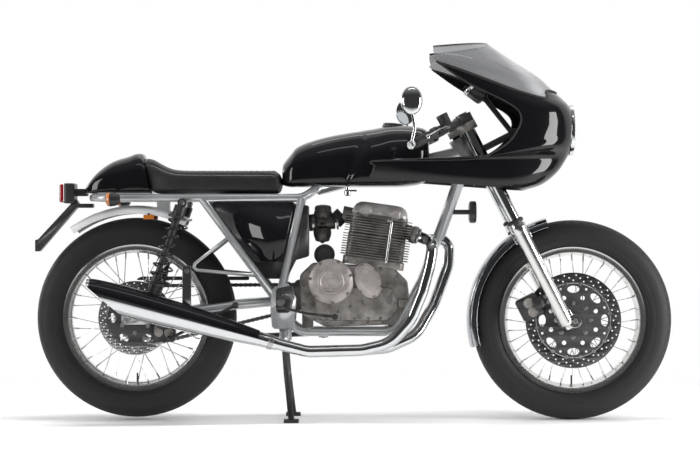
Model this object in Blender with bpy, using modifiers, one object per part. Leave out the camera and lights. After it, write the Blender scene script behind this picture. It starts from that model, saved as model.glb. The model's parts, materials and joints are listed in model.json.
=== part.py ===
"""Cafe racer motorcycle: single-cylinder, half fairing, clip-on bars, wire wheels, parked on its centre stand.

Metres, +X forward, +Y to the rider's left, +Z up. The floor is Z = 0.
"""

import math

import bmesh
import bpy
from mathutils import Matrix, Vector

# Wheels
WHEEL_RADIUS = 0.325
WHEELBASE = 1.418
FRONT_TYRE_WIDTH = 0.100
REAR_TYRE_WIDTH = 0.112
BEAD_RADIUS = 0.230
RIM_WIDTH = 0.080
RIM_DEPTH = 0.0195
FLANGE_RISE = 0.0085
SPOKES = 36
SPOKE_RADIUS = 0.0020
SPOKE_LEAD = math.radians(38)
ROUND_STEPS = 32
AXLE_RADIUS = 0.0085
AXLE_CLEARANCE = 0.0006
HUB_RADIUS = 0.024
FRONT_FLANGE_RADIUS = 0.046
REAR_FLANGE_RADIUS = 0.062
FLANGE_SPREAD = 0.032

# Brakes
DISC_THICKNESS = 0.005
FRONT_DISC_RADIUS = 0.155
FRONT_DISC_Y = -0.0595
REAR_DISC_RADIUS = 0.120
REAR_DISC_Y = -0.0655

# Steering
RAKE = math.radians(27)
HEAD_X = 0.320
HEAD_Z = 0.950
FORK_OFFSET = 0.040
AXLE_LEAD = 0.025
FORK_SPREAD = 0.095
FORK_TUBE_RADIUS = 0.0205
SLIDER_RADIUS = 0.0250
SLIDER_LENGTH = 0.375
FORK_LENGTH = 0.760
TUBE_RISE = 0.034
YOKE_SPACING = 0.170
YOKE_THICKNESS = 0.026
BAR_REACH = Vector((-0.184, -0.223, -0.002))
STEM_RADIUS = 0.014
STEM_CLEARANCE = 0.0006
HEAD_TUBE_RADIUS = 0.029

# Stands
STAND_LIFT = 0.008
STAND_PIVOT = Vector((-0.225, 0.0, 0.268))
STAND_FOOT_X = -0.200
STAND_FOOT_Y = 0.130

# Frame
RAIL_RADIUS = 0.0125
RAIL_Y = 0.105
RAIL_Z = 0.722
CRADLE_Y = 0.095
CRADLE_Z = 0.288
BACKBONE_RADIUS = 0.022
DOWNTUBE_RADIUS = 0.019
SWINGARM_PIVOT = Vector((-0.235, 0.0, 0.385))
SWINGARM_Y = 0.098
SWINGARM_RADIUS = 0.014
PLATE_Y = 0.110
PLATE_THICKNESS = 0.008

# Shared clearance of two pieces that touch
SEAT = 0.0003

# Places that follow from the sizes above
TILT = Matrix.Rotation(-RAKE, 4, "Y")
FOOT_Z = WHEEL_RADIUS - (FORK_OFFSET + AXLE_LEAD) * math.sin(RAKE)
FOOT_X = HEAD_X + (HEAD_Z - FOOT_Z) * math.tan(RAKE)
STEERING_FRAME = Matrix.Translation((FOOT_X, 0.0, FOOT_Z)) @ TILT
TOP_YOKE_HEIGHT = FORK_LENGTH - TUBE_RISE - YOKE_THICKNESS
LOWER_YOKE_HEIGHT = TOP_YOKE_HEIGHT - YOKE_SPACING
FRONT_AXLE = STEERING_FRAME @ Vector((FORK_OFFSET + AXLE_LEAD, 0.0, 0.0))
REAR_AXLE = Vector((FRONT_AXLE.x - WHEELBASE, 0.0, WHEEL_RADIUS + STAND_LIFT))

# name: (colour, roughness, metallic)
FINISHES = {
    "tyre": ((0.018, 0.018, 0.019, 1), 0.80, 0.0),
    "rim_alloy": ((0.62, 0.62, 0.62, 1), 0.30, 1.0),
    "steel": ((0.45, 0.45, 0.46, 1), 0.38, 1.0),
    "chrome": ((0.80, 0.80, 0.81, 1), 0.08, 1.0),
    "frame_silver": ((0.46, 0.47, 0.48, 1), 0.32, 0.8),
    "gloss_black": ((0.008, 0.008, 0.009, 1), 0.12, 0.0),
    "satin_black": ((0.020, 0.020, 0.021, 1), 0.45, 0.0),
    "cast_alloy": ((0.36, 0.34, 0.32, 1), 0.50, 0.9),
    "fin_alloy": ((0.15, 0.145, 0.14, 1), 0.55, 0.8),
    "seat_leather": ((0.022, 0.022, 0.022, 1), 0.55, 0.0),
    "screen_grey": ((0.30, 0.31, 0.33, 0.55), 0.06, 0.0),
    "lamp_glass": ((0.85, 0.87, 0.90, 1), 0.05, 0.0),
    "amber": ((0.75, 0.24, 0.02, 1), 0.20, 0.0),
    "red_lens": ((0.45, 0.01, 0.01, 1), 0.20, 0.0),
}

for old in list(bpy.data.objects):
    bpy.data.objects.remove(old)
PARTS = bpy.data.collections.new("cafe_racer")
bpy.context.scene.collection.children.link(PARTS)


def make_finish(name):
    """The Principled material of one finish."""
    colour, roughness, metallic = FINISHES[name]
    made = bpy.data.materials.new(name)
    made.use_nodes = True
    shader = made.node_tree.nodes["Principled BSDF"]
    shader.inputs["Base Color"].default_value = colour
    shader.inputs["Roughness"].default_value = roughness
    shader.inputs["Metallic"].default_value = metallic
    return made


MATERIALS = {name: make_finish(name) for name in FINISHES}


def link(mesh):
    """An object for a mesh, in the motorcycle's collection."""
    obj = bpy.data.objects.new("piece", mesh)
    PARTS.objects.link(obj)
    return obj


def from_bmesh(bm):
    mesh = bpy.data.meshes.new("piece")
    bm.to_mesh(mesh)
    bm.free()
    return link(mesh)


def settle(obj):
    """Replaces an object's modifiers, or its curve, with the mesh that they give."""
    bpy.context.view_layer.update()
    graph = bpy.context.evaluated_depsgraph_get()
    mesh = bpy.data.meshes.new_from_object(obj.evaluated_get(graph))
    bm = bmesh.new()
    bm.from_mesh(mesh)
    bmesh.ops.remove_doubles(bm, verts=bm.verts, dist=1e-5)
    bm.to_mesh(mesh)
    bm.free()
    made = link(mesh)
    made.matrix_world = obj.matrix_world
    bpy.data.objects.remove(obj)
    return made


def combine(operation, base, others):
    """Applies one boolean after another, each to a mesh whose doubled corners are merged."""
    for other in others:
        step = base.modifiers.new(operation, "BOOLEAN")
        step.operation = operation
        step.object = other
        base = settle(base)
        bpy.data.objects.remove(other)
    return base


def fuse(base, *others):
    """One solid from shapes that overlap."""
    return combine("UNION", base, others)


def cut(base, *others):
    return combine("DIFFERENCE", base, others)


def grown(obj, gap=SEAT):
    """A copy whose surface stands off by the gap, to cut a seat with."""
    bm = bmesh.new()
    bm.from_mesh(obj.data)
    bm.normal_update()
    moves = [(v, v.normal * v.calc_shell_factor() * gap) for v in bm.verts]
    for v, move in moves:
        v.co += move
    return from_bmesh(bm)


def carve(base, *neighbours):
    """Cuts each neighbour out of base, with the seat's clearance round it."""
    return cut(base, *[grown(n) for n in neighbours])


def changed(obj, matrix):
    """Moves an object's mesh by a matrix, and turns its faces back if the matrix mirrors."""
    bm = bmesh.new()
    bm.from_mesh(obj.data)
    bmesh.ops.transform(bm, matrix=matrix, verts=bm.verts)
    if matrix.determinant() < 0:
        bmesh.ops.reverse_faces(bm, faces=bm.faces)
    bm.to_mesh(obj.data)
    bm.free()
    return obj


def facing_out(obj):
    """Fills an object's open ends and turns its faces outwards."""
    bm = bmesh.new()
    bm.from_mesh(obj.data)
    bmesh.ops.holes_fill(bm, edges=bm.edges)
    bmesh.ops.recalc_face_normals(bm, faces=bm.faces)
    bm.to_mesh(obj.data)
    bm.free()
    return obj


def copied(obj, matrix):
    return changed(link(obj.data.copy()), matrix)


MIRROR = Matrix.Scale(-1, 4, Vector((0, 1, 0)))


def other_side(obj):
    """The same piece on the other side of the machine."""
    return copied(obj, MIRROR)


def both_sides(build):
    """Calls build for the right side, at -Y, and mirrors what it makes."""
    right = build()
    return right, other_side(right)


def rod(start, end, radius, sides=12, end_radius=None):
    """A round bar, or a cone, from start to end."""
    start, end = Vector(start), Vector(end)
    along = end - start
    place = Matrix.Translation((start + end) / 2) @ along.to_track_quat("Z", "Y").to_matrix().to_4x4()
    bm = bmesh.new()
    bmesh.ops.create_cone(
        bm,
        cap_ends=True,
        segments=sides,
        radius1=radius,
        radius2=radius if end_radius is None else end_radius,
        depth=along.length,
        matrix=place,
    )
    return from_bmesh(bm)


def cross_rod(x, z, y_low, y_high, radius, sides=12):
    """A round bar along Y."""
    return rod((x, y_low, z), (x, y_high, z), radius, sides)


def block(low, high, bevel=0.0):
    """A box between two corners, with its edges bevelled."""
    low, high = Vector(low), Vector(high)
    bm = bmesh.new()
    bmesh.ops.create_cube(bm, size=1.0)
    bmesh.ops.scale(bm, vec=high - low, verts=bm.verts)
    bmesh.ops.translate(bm, vec=(low + high) / 2, verts=bm.verts)
    if bevel:
        bmesh.ops.bevel(bm, geom=bm.edges, offset=bevel, segments=1, affect="EDGES", profile=0.5)
    return from_bmesh(bm)


def arc_at(before, corner, after, bend, steps):
    """The points of the arc that rounds one corner."""
    back = (before - corner).normalized()
    on = (after - corner).normalized()
    half = back.angle(on) / 2
    shortest = min((before - corner).length, (after - corner).length)
    reach = min(bend / math.tan(half), 0.48 * shortest)
    radius = reach * math.tan(half)
    centre = corner + (back + on).normalized() * radius / math.sin(half)
    first = (corner + back * reach - centre).normalized()
    last = (corner + on * reach - centre).normalized()
    return [centre + first.slerp(last, i / steps) * radius for i in range(steps + 1)]


def bent(corners, bend, steps=4):
    """The path of a bent tube: straight runs between corners, with an arc at each."""
    corners = [Vector(c) for c in corners]
    path = [corners[0]]
    for before, corner, after in zip(corners, corners[1:], corners[2:]):
        path += arc_at(before, corner, after, bend, steps)
    return path + [corners[-1]]


def rounded(corners, radius, steps=3):
    """A closed outline in X and Z with its corners rounded."""
    corners = [Vector((x, z, 0)) for x, z in corners]
    outline = []
    for i, corner in enumerate(corners):
        outline += arc_at(corners[i - 1], corner, corners[(i + 1) % len(corners)], radius, steps)
    return [(p.x, p.y) for p in outline]


def tube(path, radius, sides=8):
    """A bent tube or wire with closed ends."""
    curve = bpy.data.curves.new("tube", "CURVE")
    curve.dimensions = "3D"
    spline = curve.splines.new("POLY")
    spline.points.add(len(path) - 1)
    for point, place in zip(spline.points, path):
        point.co = (*place, 1.0)
    curve.bevel_depth = radius
    curve.bevel_resolution = (sides - 4) // 2
    curve.use_fill_caps = True
    return settle(link_curve(curve))


def link_curve(curve):
    obj = bpy.data.objects.new("piece", curve)
    PARTS.objects.link(obj)
    return obj


def plate(outlines, y_low, y_high):
    """A flat piece from outlines in X and Z, the first the edge and the rest its holes, between two Y."""
    curve = bpy.data.curves.new("plate", "CURVE")
    curve.dimensions = "2D"
    curve.fill_mode = "BOTH"
    curve.extrude = (y_high - y_low) / 2
    for outline in outlines:
        spline = curve.splines.new("POLY")
        spline.points.add(len(outline) - 1)
        spline.use_cyclic_u = True
        for point, (x, z) in zip(spline.points, outline):
            point.co = (x, z, 0.0, 1.0)
    obj = link_curve(curve)
    obj.matrix_world = Matrix.Translation((0, (y_low + y_high) / 2, 0)) @ Matrix.Rotation(math.radians(90), 4, "X")
    made = settle(obj)
    place = made.matrix_world.copy()
    made.matrix_world = Matrix.Identity(4)
    return facing_out(changed(made, place))


def circle(x, z, radius, sides):
    return [
        (x + radius * math.cos(math.tau * i / sides), z + radius * math.sin(math.tau * i / sides))
        for i in range(sides)
    ]


def turned(profile, steps, closed=False, sweep=math.tau, start=0.0):
    """A shape turned about the Y axis from (radius, y) points. A closed profile makes a ring."""
    bm = bmesh.new()
    points = [bm.verts.new((radius, 0, y)) for radius, y in profile]
    for first, second in zip(points, points[1:]):
        bm.edges.new((first, second))
    if closed:
        bm.edges.new((points[-1], points[0]))
    obj = from_bmesh(bm)
    screw = obj.modifiers.new("turn", "SCREW")
    screw.angle = sweep
    screw.steps = screw.render_steps = steps
    screw.use_merge_vertices = True
    screw.merge_threshold = 0.0001
    made = facing_out(settle(obj))
    return changed(made, Matrix.Rotation(start, 4, "Y") @ Matrix.Rotation(-math.pi / 2, 4, "X"))


def loft(sections, closed=False):
    """A skin through rings of the same number of points, closed into a loop or capped at its ends."""
    bm = bmesh.new()
    rings = [[bm.verts.new(p) for p in section] for section in sections]
    count = len(rings[0])
    following = rings[1:] + rings[:1] if closed else rings[1:]
    for low, high in zip(rings, following):
        for i in range(count):
            j = (i + 1) % count
            bm.faces.new((low[i], low[j], high[j], high[i]))
    if not closed:
        bm.faces.new(rings[0][::-1])
        bm.faces.new(rings[-1])
    bmesh.ops.recalc_face_normals(bm, faces=bm.faces)
    return from_bmesh(bm)


def sheet(rows, thickness):
    """An open surface through rows of points, thickened inwards."""
    bm = bmesh.new()
    grid = [[bm.verts.new(p) for p in row] for row in rows]
    for low, high in zip(grid, grid[1:]):
        for i in range(len(low) - 1):
            bm.faces.new((low[i], low[i + 1], high[i + 1], high[i]))
    bm.normal_update()
    middle = bm.faces[:][len(bm.faces) // 2]
    if middle.normal.x < 0:
        bmesh.ops.reverse_faces(bm, faces=bm.faces)
    obj = from_bmesh(bm)
    wall = obj.modifiers.new("wall", "SOLIDIFY")
    wall.thickness = thickness
    wall.offset = -1
    wall.use_even_offset = True
    return settle(obj)


def main_body(obj):
    """Keeps the largest of an object's separate bodies, which drops the offcuts of a carving."""
    bm = bmesh.new()
    bm.from_mesh(obj.data)
    left = set(bm.verts)
    islands = []
    while left:
        seed = left.pop()
        island, front = {seed}, [seed]
        while front:
            for edge in front.pop().link_edges:
                for v in edge.verts:
                    if v in left:
                        left.remove(v)
                        island.add(v)
                        front.append(v)
        islands.append(island)
    islands.sort(key=len)
    for island in islands[:-1]:
        bmesh.ops.delete(bm, geom=list(island), context="VERTS")
    bm.to_mesh(obj.data)
    bm.free()
    return obj


def finish(obj, name, material, parent=None):
    """Names a finished piece, merges its flat facets, gives it its material and hangs it on its joint's empty."""
    bm = bmesh.new()
    bm.from_mesh(obj.data)
    bmesh.ops.dissolve_limit(bm, angle_limit=math.radians(0.2), verts=bm.verts, edges=bm.edges)
    bm.to_mesh(obj.data)
    bm.free()
    obj.name = obj.data.name = name
    obj.data.materials.clear()
    obj.data.materials.append(MATERIALS[material])
    obj.data.shade_smooth()
    obj.data.set_sharp_from_angle(angle=math.radians(35))
    if parent is not None:
        obj.parent = parent
    return obj


def empty(name, matrix, parent=None):
    obj = bpy.data.objects.new(name, None)
    PARTS.objects.link(obj)
    obj.parent = parent
    obj.matrix_local = matrix
    return obj


STEERING = empty("steering_axis", STEERING_FRAME)
FRONT_WHEEL = empty("front_wheel_axis", Matrix.Translation((FORK_OFFSET + AXLE_LEAD, 0, 0)) @ TILT.inverted(), STEERING)
REAR_WHEEL = empty("rear_wheel_axis", Matrix.Translation(REAR_AXLE))
CENTRE_STAND = empty("centre_stand_axis", Matrix.Translation(STAND_PIVOT))


def tyre(width):
    """A tyre's ring about its axle. Its bead seats between the rim's flanges."""
    bead = RIM_WIDTH / 2 - 0.0055
    half = width / 2
    # (radius, share of the width past the bead)
    wall = [
        (BEAD_RADIUS + 0.018, 0.68),
        (BEAD_RADIUS + 0.042, 1.00),
        (WHEEL_RADIUS - 0.026, 0.93),
        (WHEEL_RADIUS - 0.006, 0.56),
    ]
    side = [(BEAD_RADIUS, bead - SEAT), (BEAD_RADIUS + FLANGE_RISE + 0.0006, bead + 0.002 - SEAT)]
    side += [(radius, half * share) for radius, share in wall]
    ring = side + [(WHEEL_RADIUS, 0.0)] + [(radius, -y) for radius, y in reversed(side)]
    return turned(ring, ROUND_STEPS, closed=True)


def rim():
    """The rim's channel, with a flange each side that holds the tyre's bead."""
    bead = RIM_WIDTH / 2 - 0.0055
    base = BEAD_RADIUS - SEAT
    top = BEAD_RADIUS + FLANGE_RISE
    side = [
        (BEAD_RADIUS - RIM_DEPTH, 0.013),
        (BEAD_RADIUS - 0.0110, RIM_WIDTH / 2 - 0.0015),
        (top, RIM_WIDTH / 2),
        (top, bead + 0.002),
        (base, bead),
    ]
    return turned([(radius, -y) for radius, y in reversed(side)] + side, ROUND_STEPS, closed=True)


def spokes(flange_radius):
    """Wire spokes from the hub's flanges to the rim, each side laced both ways."""
    made = []
    for i in range(SPOKES):
        side = 1 if i % 2 else -1
        lead = 1 if (i // 2) % 2 else -1
        rim_angle = math.tau * i / SPOKES
        hub_angle = rim_angle + lead * SPOKE_LEAD
        hub_radius = flange_radius - 0.004
        rim_radius = BEAD_RADIUS - RIM_DEPTH + 0.003
        hub_y = side * FLANGE_SPREAD + lead * 0.004
        rim_y = side * 0.009 + lead * 0.003
        start = (hub_radius * math.cos(hub_angle), hub_y, hub_radius * math.sin(hub_angle))
        end = (rim_radius * math.cos(rim_angle), rim_y, rim_radius * math.sin(rim_angle))
        made.append(rod(start, end, SPOKE_RADIUS, 3))
    bm = bmesh.new()
    for obj in made:
        bm.from_mesh(obj.data)
        bpy.data.objects.remove(obj)
    return from_bmesh(bm)


def hub(profile):
    """A turned hub with its axle's bore."""
    bore = AXLE_RADIUS + AXLE_CLEARANCE
    return turned([(bore, profile[0][1])] + profile + [(bore, profile[-1][1])], 16, closed=True)


def wheel(hub_profile, flange_radius):
    return fuse(rim(), spokes(flange_radius), hub(hub_profile))


def flange_profile(right_end, left_end, flange_radius, right_boss, left_boss):
    """A hub's outline from its right end to its left: boss, flange, waist, flange, boss."""
    half = 0.0065
    return [
        (right_boss, right_end),
        (right_boss, -FLANGE_SPREAD - half),
        (flange_radius, -FLANGE_SPREAD - half),
        (flange_radius, -FLANGE_SPREAD + half),
        (HUB_RADIUS, -FLANGE_SPREAD + 0.018),
        (HUB_RADIUS, FLANGE_SPREAD - 0.018),
        (flange_radius, FLANGE_SPREAD - half),
        (flange_radius, FLANGE_SPREAD + half),
        (left_boss, FLANGE_SPREAD + half),
        (left_boss, left_end),
    ]


def ring_holes(radius, hole, count, sides, start=0.0):
    """The outlines of a ring of round holes."""
    places = [start + math.tau * i / count for i in range(count)]
    return [circle(radius * math.cos(a), radius * math.sin(a), hole, sides) for a in places]


def build_front_wheel():
    inner_face = FRONT_DISC_Y + DISC_THICKNESS / 2 + SEAT
    profile = flange_profile(inner_face, 0.062, FRONT_FLANGE_RADIUS, 0.040, 0.022)
    finish(wheel(profile, FRONT_FLANGE_RADIUS), "front_wheel_rim", "rim_alloy", FRONT_WHEEL)
    finish(tyre(FRONT_TYRE_WIDTH), "front_tyre", "tyre", FRONT_WHEEL)
    outlines = [circle(0, 0, FRONT_DISC_RADIUS, 36), circle(0, 0, 0.016, 12)]
    outlines += ring_holes(0.108, 0.0155, 8, 8)
    outlines += ring_holes(0.078, 0.0075, 8, 6, math.pi / 8)
    disc = plate(outlines, FRONT_DISC_Y - DISC_THICKNESS / 2, FRONT_DISC_Y + DISC_THICKNESS / 2)
    finish(disc, "front_brake_disc", "steel", FRONT_WHEEL)


def build_rear_wheel():
    inner_face = REAR_DISC_Y + DISC_THICKNESS / 2 + SEAT
    profile = flange_profile(inner_face, 0.066, REAR_FLANGE_RADIUS, 0.055, 0.052)
    finish(wheel(profile, REAR_FLANGE_RADIUS), "rear_wheel_rim", "rim_alloy", REAR_WHEEL)
    finish(tyre(REAR_TYRE_WIDTH), "rear_tyre", "tyre", REAR_WHEEL)
    outlines = [circle(0, 0, REAR_DISC_RADIUS, 32), circle(0, 0, 0.016, 12)]
    outlines += ring_holes(0.076, 0.0135, 6, 8)
    disc = plate(outlines, REAR_DISC_Y - DISC_THICKNESS / 2, REAR_DISC_Y + DISC_THICKNESS / 2)
    finish(disc, "rear_brake_disc", "steel", REAR_WHEEL)
    build_rear_sprocket()


CHAIN_Y = 0.0745
CHAIN_WIDTH = 0.014
CHAIN_PITCH = 0.0159
REAR_SPROCKET_PATH = 0.100
FRONT_SPROCKET_PATH = 0.036
CHAIN_HEIGHT = 0.0145
SPROCKET_THICKNESS = 0.006
SPROCKET_CLEARANCE = 0.0055
FRONT_SPROCKET = Vector((-0.150, 0.0, 0.402))
SPROCKET_TEETH = 38


def build_rear_sprocket():
    tip = REAR_SPROCKET_PATH - CHAIN_HEIGHT / 2 - SPROCKET_CLEARANCE
    teeth = []
    for i in range(SPROCKET_TEETH * 2):
        radius = tip if i % 2 else tip - 0.006
        angle = math.tau * i / (SPROCKET_TEETH * 2)
        teeth.append((radius * math.cos(angle), radius * math.sin(angle)))
    outlines = [teeth, circle(0, 0, 0.016, 12)] + ring_holes(0.066, 0.012, 6, 6)
    face = 0.066 + SEAT
    sprocket = plate(outlines, face, face + SPROCKET_THICKNESS)
    finish(sprocket, "rear_sprocket", "steel", REAR_WHEEL)


def chain_path():
    """Points a pitch apart round both sprockets, each with its outward direction."""
    rear, front = REAR_AXLE, FRONT_SPROCKET
    span = front - rear
    distance = math.hypot(span.x, span.z)
    tilt = math.atan2(span.z, span.x)
    spread = math.acos((REAR_SPROCKET_PATH - FRONT_SPROCKET_PATH) / distance)
    run = math.sqrt(distance**2 - (REAR_SPROCKET_PATH - FRONT_SPROCKET_PATH) ** 2)
    rear_arc = (math.tau - 2 * spread) * REAR_SPROCKET_PATH
    front_arc = 2 * spread * FRONT_SPROCKET_PATH
    whole = rear_arc + front_arc + 2 * run
    links = round(whole / CHAIN_PITCH / 2) * 2
    points = []
    for i in range(links):
        s = whole * i / links
        if s < front_arc:
            angle = tilt + spread - s / FRONT_SPROCKET_PATH
            base, radius, along = front, FRONT_SPROCKET_PATH, 0.0
        elif s < front_arc + run:
            angle = tilt - spread
            base, radius, along = front, FRONT_SPROCKET_PATH, front_arc - s
        elif s < front_arc + run + rear_arc:
            angle = tilt - spread - (s - front_arc - run) / REAR_SPROCKET_PATH
            base, radius, along = rear, REAR_SPROCKET_PATH, 0.0
        else:
            angle = tilt + spread
            base, radius, along = rear, REAR_SPROCKET_PATH, s - front_arc - run - rear_arc
        out = Vector((math.cos(angle), math.sin(angle)))
        on = Vector((out.y, -out.x))
        if along < 0:
            on, along = on, -along
        points.append((Vector((base.x, base.z)) + out * radius + on * along, out))
    return points


def build_chain():
    """The drive chain as one fixed loop, its link plates waisted between the pins."""
    path = chain_path()
    reach = [CHAIN_HEIGHT / 2 if i % 2 else CHAIN_HEIGHT / 2 - 0.002 for i in range(len(path))]
    low, high = CHAIN_Y - CHAIN_WIDTH / 2, CHAIN_Y + CHAIN_WIDTH / 2
    sections = []
    for (p, out), r in zip(path, reach):
        outer, inner = p + out * r, p - out * r
        sections.append([(outer.x, low, outer.y), (outer.x, high, outer.y), (inner.x, high, inner.y), (inner.x, low, inner.y)])
    finish(loft(sections, closed=True), "drive_chain", "steel")


def build_fork():
    """Sliders, tubes, yokes and axle, in the steering's own frame: X forward, Z up along its axis."""
    x, y = FORK_OFFSET, -FORK_SPREAD
    axle_x = FORK_OFFSET + AXLE_LEAD
    bore = AXLE_RADIUS + SEAT

    def slider():
        body = rod((x, y, -0.004), (x, y, SLIDER_LENGTH), SLIDER_RADIUS, 14)
        collar = rod((x, y, SLIDER_LENGTH - 0.030), (x, y, SLIDER_LENGTH + 0.004), SLIDER_RADIUS + 0.003, 14)
        lug = cross_rod(axle_x, 0, y - 0.018, y + 0.018, 0.022, 12)
        toe = block((x - 0.012, y - 0.016, -0.018), (axle_x, y + 0.016, 0.045))
        return cut(fuse(body, collar, lug, toe), cross_rod(axle_x, 0, y - 0.05, y + 0.05, bore, 12))

    def stanchion():
        return rod((x, y, SLIDER_LENGTH + 0.004 + SEAT), (x, y, FORK_LENGTH), FORK_TUBE_RADIUS, 14)

    right_slider, left_slider = both_sides(slider)
    finish(right_slider, "fork_slider_right", "chrome", STEERING)
    finish(left_slider, "fork_slider_left", "chrome", STEERING)
    right_tube, left_tube = both_sides(stanchion)
    axle = cross_rod(axle_x, 0, y - 0.024, -y + 0.024, AXLE_RADIUS, 12)
    finish(axle, "front_axle", "steel", STEERING)

    lower = yoke(LOWER_YOKE_HEIGHT, 0.034)
    stem = rod((0, 0, LOWER_YOKE_HEIGHT + 0.01), (0, 0, TOP_YOKE_HEIGHT + YOKE_THICKNESS + 0.006), STEM_RADIUS, 16)
    lower = carve(fuse(lower, stem), right_tube, left_tube)
    upper = carve(yoke(TOP_YOKE_HEIGHT, 0.032), right_tube, left_tube, lower)
    finish(lower, "lower_yoke", "satin_black", STEERING)
    finish(upper, "top_yoke", "cast_alloy", STEERING)
    finish(right_tube, "fork_tube_right", "steel", STEERING)
    finish(left_tube, "fork_tube_left", "steel", STEERING)
    return right_slider, left_slider, right_tube, left_tube


def yoke(height, clamp):
    """A fork clamp: a bridge with a boss round each leg."""
    z0, z1 = height, height + YOKE_THICKNESS
    outline = [
        (-0.020, -0.028),
        (FORK_OFFSET - 0.012, -FORK_SPREAD - 0.022),
        (FORK_OFFSET + 0.022, -FORK_SPREAD - 0.016),
        (FORK_OFFSET + 0.024, 0.0),
        (FORK_OFFSET + 0.022, FORK_SPREAD + 0.016),
        (FORK_OFFSET - 0.012, FORK_SPREAD + 0.022),
        (-0.020, 0.028),
    ]
    bridge = plate([rounded(outline, 0.010, 1)], z0 + 0.003, z1 - 0.003)
    changed(bridge, Matrix.Rotation(math.pi / 2, 4, "X"))
    bosses = [
        rod((FORK_OFFSET, side * FORK_SPREAD, z0), (FORK_OFFSET, side * FORK_SPREAD, z1), clamp, 12)
        for side in (-1, 1)
    ]
    return fuse(bridge, *bosses)


HEAD_TUBE_LOW = LOWER_YOKE_HEIGHT + YOKE_THICKNESS + 0.004
HEAD_TUBE_HIGH = TOP_YOKE_HEIGHT - 0.004
HEAD_TUBE_MIDDLE = (HEAD_TUBE_LOW + HEAD_TUBE_HIGH) / 2
DOWNTUBE_END = Vector((0.277, 0.0, 0.592))
BACKBONE_END = Vector((-0.120, 0.0, 0.752))
RAIL_END_X = -0.845
SHOCK_TOP = Vector((-0.550, -0.132, 0.705))
SHOCK_FOOT = Vector((-0.655, -0.132, 0.402))
STUD_RADIUS = 0.007
MUFFLER_START = Vector((-0.246, -0.145, 0.254))
MUFFLER_END = Vector((-0.856, -0.218, 0.4274))
SLASH_LEAN = math.radians(41)
SLASH_AT = Vector((-0.808, -0.212, 0.4105))
CYLINDER_FOOT = Vector((0.062, 0.0, 0.500))
CYLINDER_LEAN = math.radians(8)
TAIL_X = -(FRONT_AXLE.x + WHEEL_RADIUS)


def on_axis(height, forward=0.0, y=0.0):
    """A place given in the steering's frame, in world coordinates."""
    return STEERING_FRAME @ Vector((forward, y, height))


def in_steering(obj):
    """Takes a piece built in world coordinates into the steering's frame."""
    return changed(obj, STEERING_FRAME.inverted())


def build_frame():
    """The tube frame, with its head tube, plates, lugs and studs."""

    def side():
        y, low = -RAIL_Y, -CRADLE_Y
        post = [(-0.168, y, RAIL_Z), (-0.234, -0.100, 0.425), (-0.218, low, 0.325), (-0.170, low, CRADLE_Z)]
        cradle = [(0.135, low, CRADLE_Z), (0.222, low, 0.451), (0.262, -0.050, 0.5635), DOWNTUBE_END]
        diagonal = rod((-0.491, y, RAIL_Z), (-0.250, -0.100, 0.393), RAIL_RADIUS, 8)
        outline = [(-0.268, 0.36), (-0.262, 0.43), (-0.212, 0.45), (-0.185, 0.40), (-0.192, 0.30), (-0.262, 0.30)]
        pivot_plate = plate([rounded(outline, 0.008, 1)], -PLATE_Y - PLATE_THICKNESS / 2, -PLATE_Y + PLATE_THICKNESS / 2)
        stand_lug = block((-0.240, -0.100, 0.254), (-0.205, -0.088, 0.312))
        shock_lug = block((-0.564, -0.112, SHOCK_TOP.z - 0.014), (-0.536, -0.100, RAIL_Z))
        shock_stud = cross_rod(SHOCK_TOP.x, SHOCK_TOP.z, SHOCK_TOP.y - 0.014, -0.105, STUD_RADIUS, 8)
        hanger = [(-0.400, -0.103, 0.597), (-0.534, -0.116, 0.492), (-0.305, -0.101, 0.470)]
        shapes = [
            tube(bent(post + cradle, 0.06, 2), RAIL_RADIUS, 8),
            pivot_plate,
            stand_lug,
            shock_lug,
            shock_stud,
            tube(bent(hanger, 0.012, 2), 0.006, 6),
        ]
        return fuse(diagonal, *shapes)

    right, left = both_sides(side)
    head = rod(on_axis(HEAD_TUBE_LOW), on_axis(HEAD_TUBE_HIGH), HEAD_TUBE_RADIUS, 16)
    rail = [(-0.112, -0.070, 0.760), (-0.165, -RAIL_Y, RAIL_Z), (RAIL_END_X, -RAIL_Y, RAIL_Z)]
    rail += [(x, -y, z) for x, y, z in reversed(rail)]
    spine = [
        tube(bent(rail, 0.05, 2), RAIL_RADIUS, 8),
        rod(on_axis(HEAD_TUBE_MIDDLE + 0.02), BACKBONE_END, BACKBONE_RADIUS, 10),
        rod(on_axis(HEAD_TUBE_LOW + 0.045, -0.020), DOWNTUBE_END, DOWNTUBE_RADIUS, 10),
        cross_rod(BACKBONE_END.x, BACKBONE_END.z, -0.085, 0.085, 0.016, 8),
        cross_rod(-0.620, RAIL_Z, -RAIL_Y, RAIL_Y, 0.009, 6),
        cross_rod(SWINGARM_PIVOT.x, SWINGARM_PIVOT.z, -0.118, 0.118, 0.008, 12),
        cross_rod(STAND_PIVOT.x, STAND_PIVOT.z, -0.104, 0.104, 0.006, 12),
        cross_rod(-0.150, CRADLE_Z, -CRADLE_Y, CRADLE_Y, 0.010, 6),
        cross_rod(0.130, CRADLE_Z, -CRADLE_Y, CRADLE_Y, 0.010, 6),
        block((-0.115, 0.090, 0.262), (-0.085, 0.1225, 0.296)),
        rod(SIDE_STAND_PIVOT - SIDE_STAND_AXIS * -0.024, SIDE_STAND_PIVOT - SIDE_STAND_AXIS * 0.014, 0.005, 12),
    ]
    bore = rod(on_axis(HEAD_TUBE_LOW - 0.01), on_axis(HEAD_TUBE_HIGH + 0.01), STEM_RADIUS + STEM_CLEARANCE, 16)
    frame = cut(fuse(head, right, left, *spine), bore)
    finish(frame, "frame", "frame_silver")
    return frame


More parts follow.
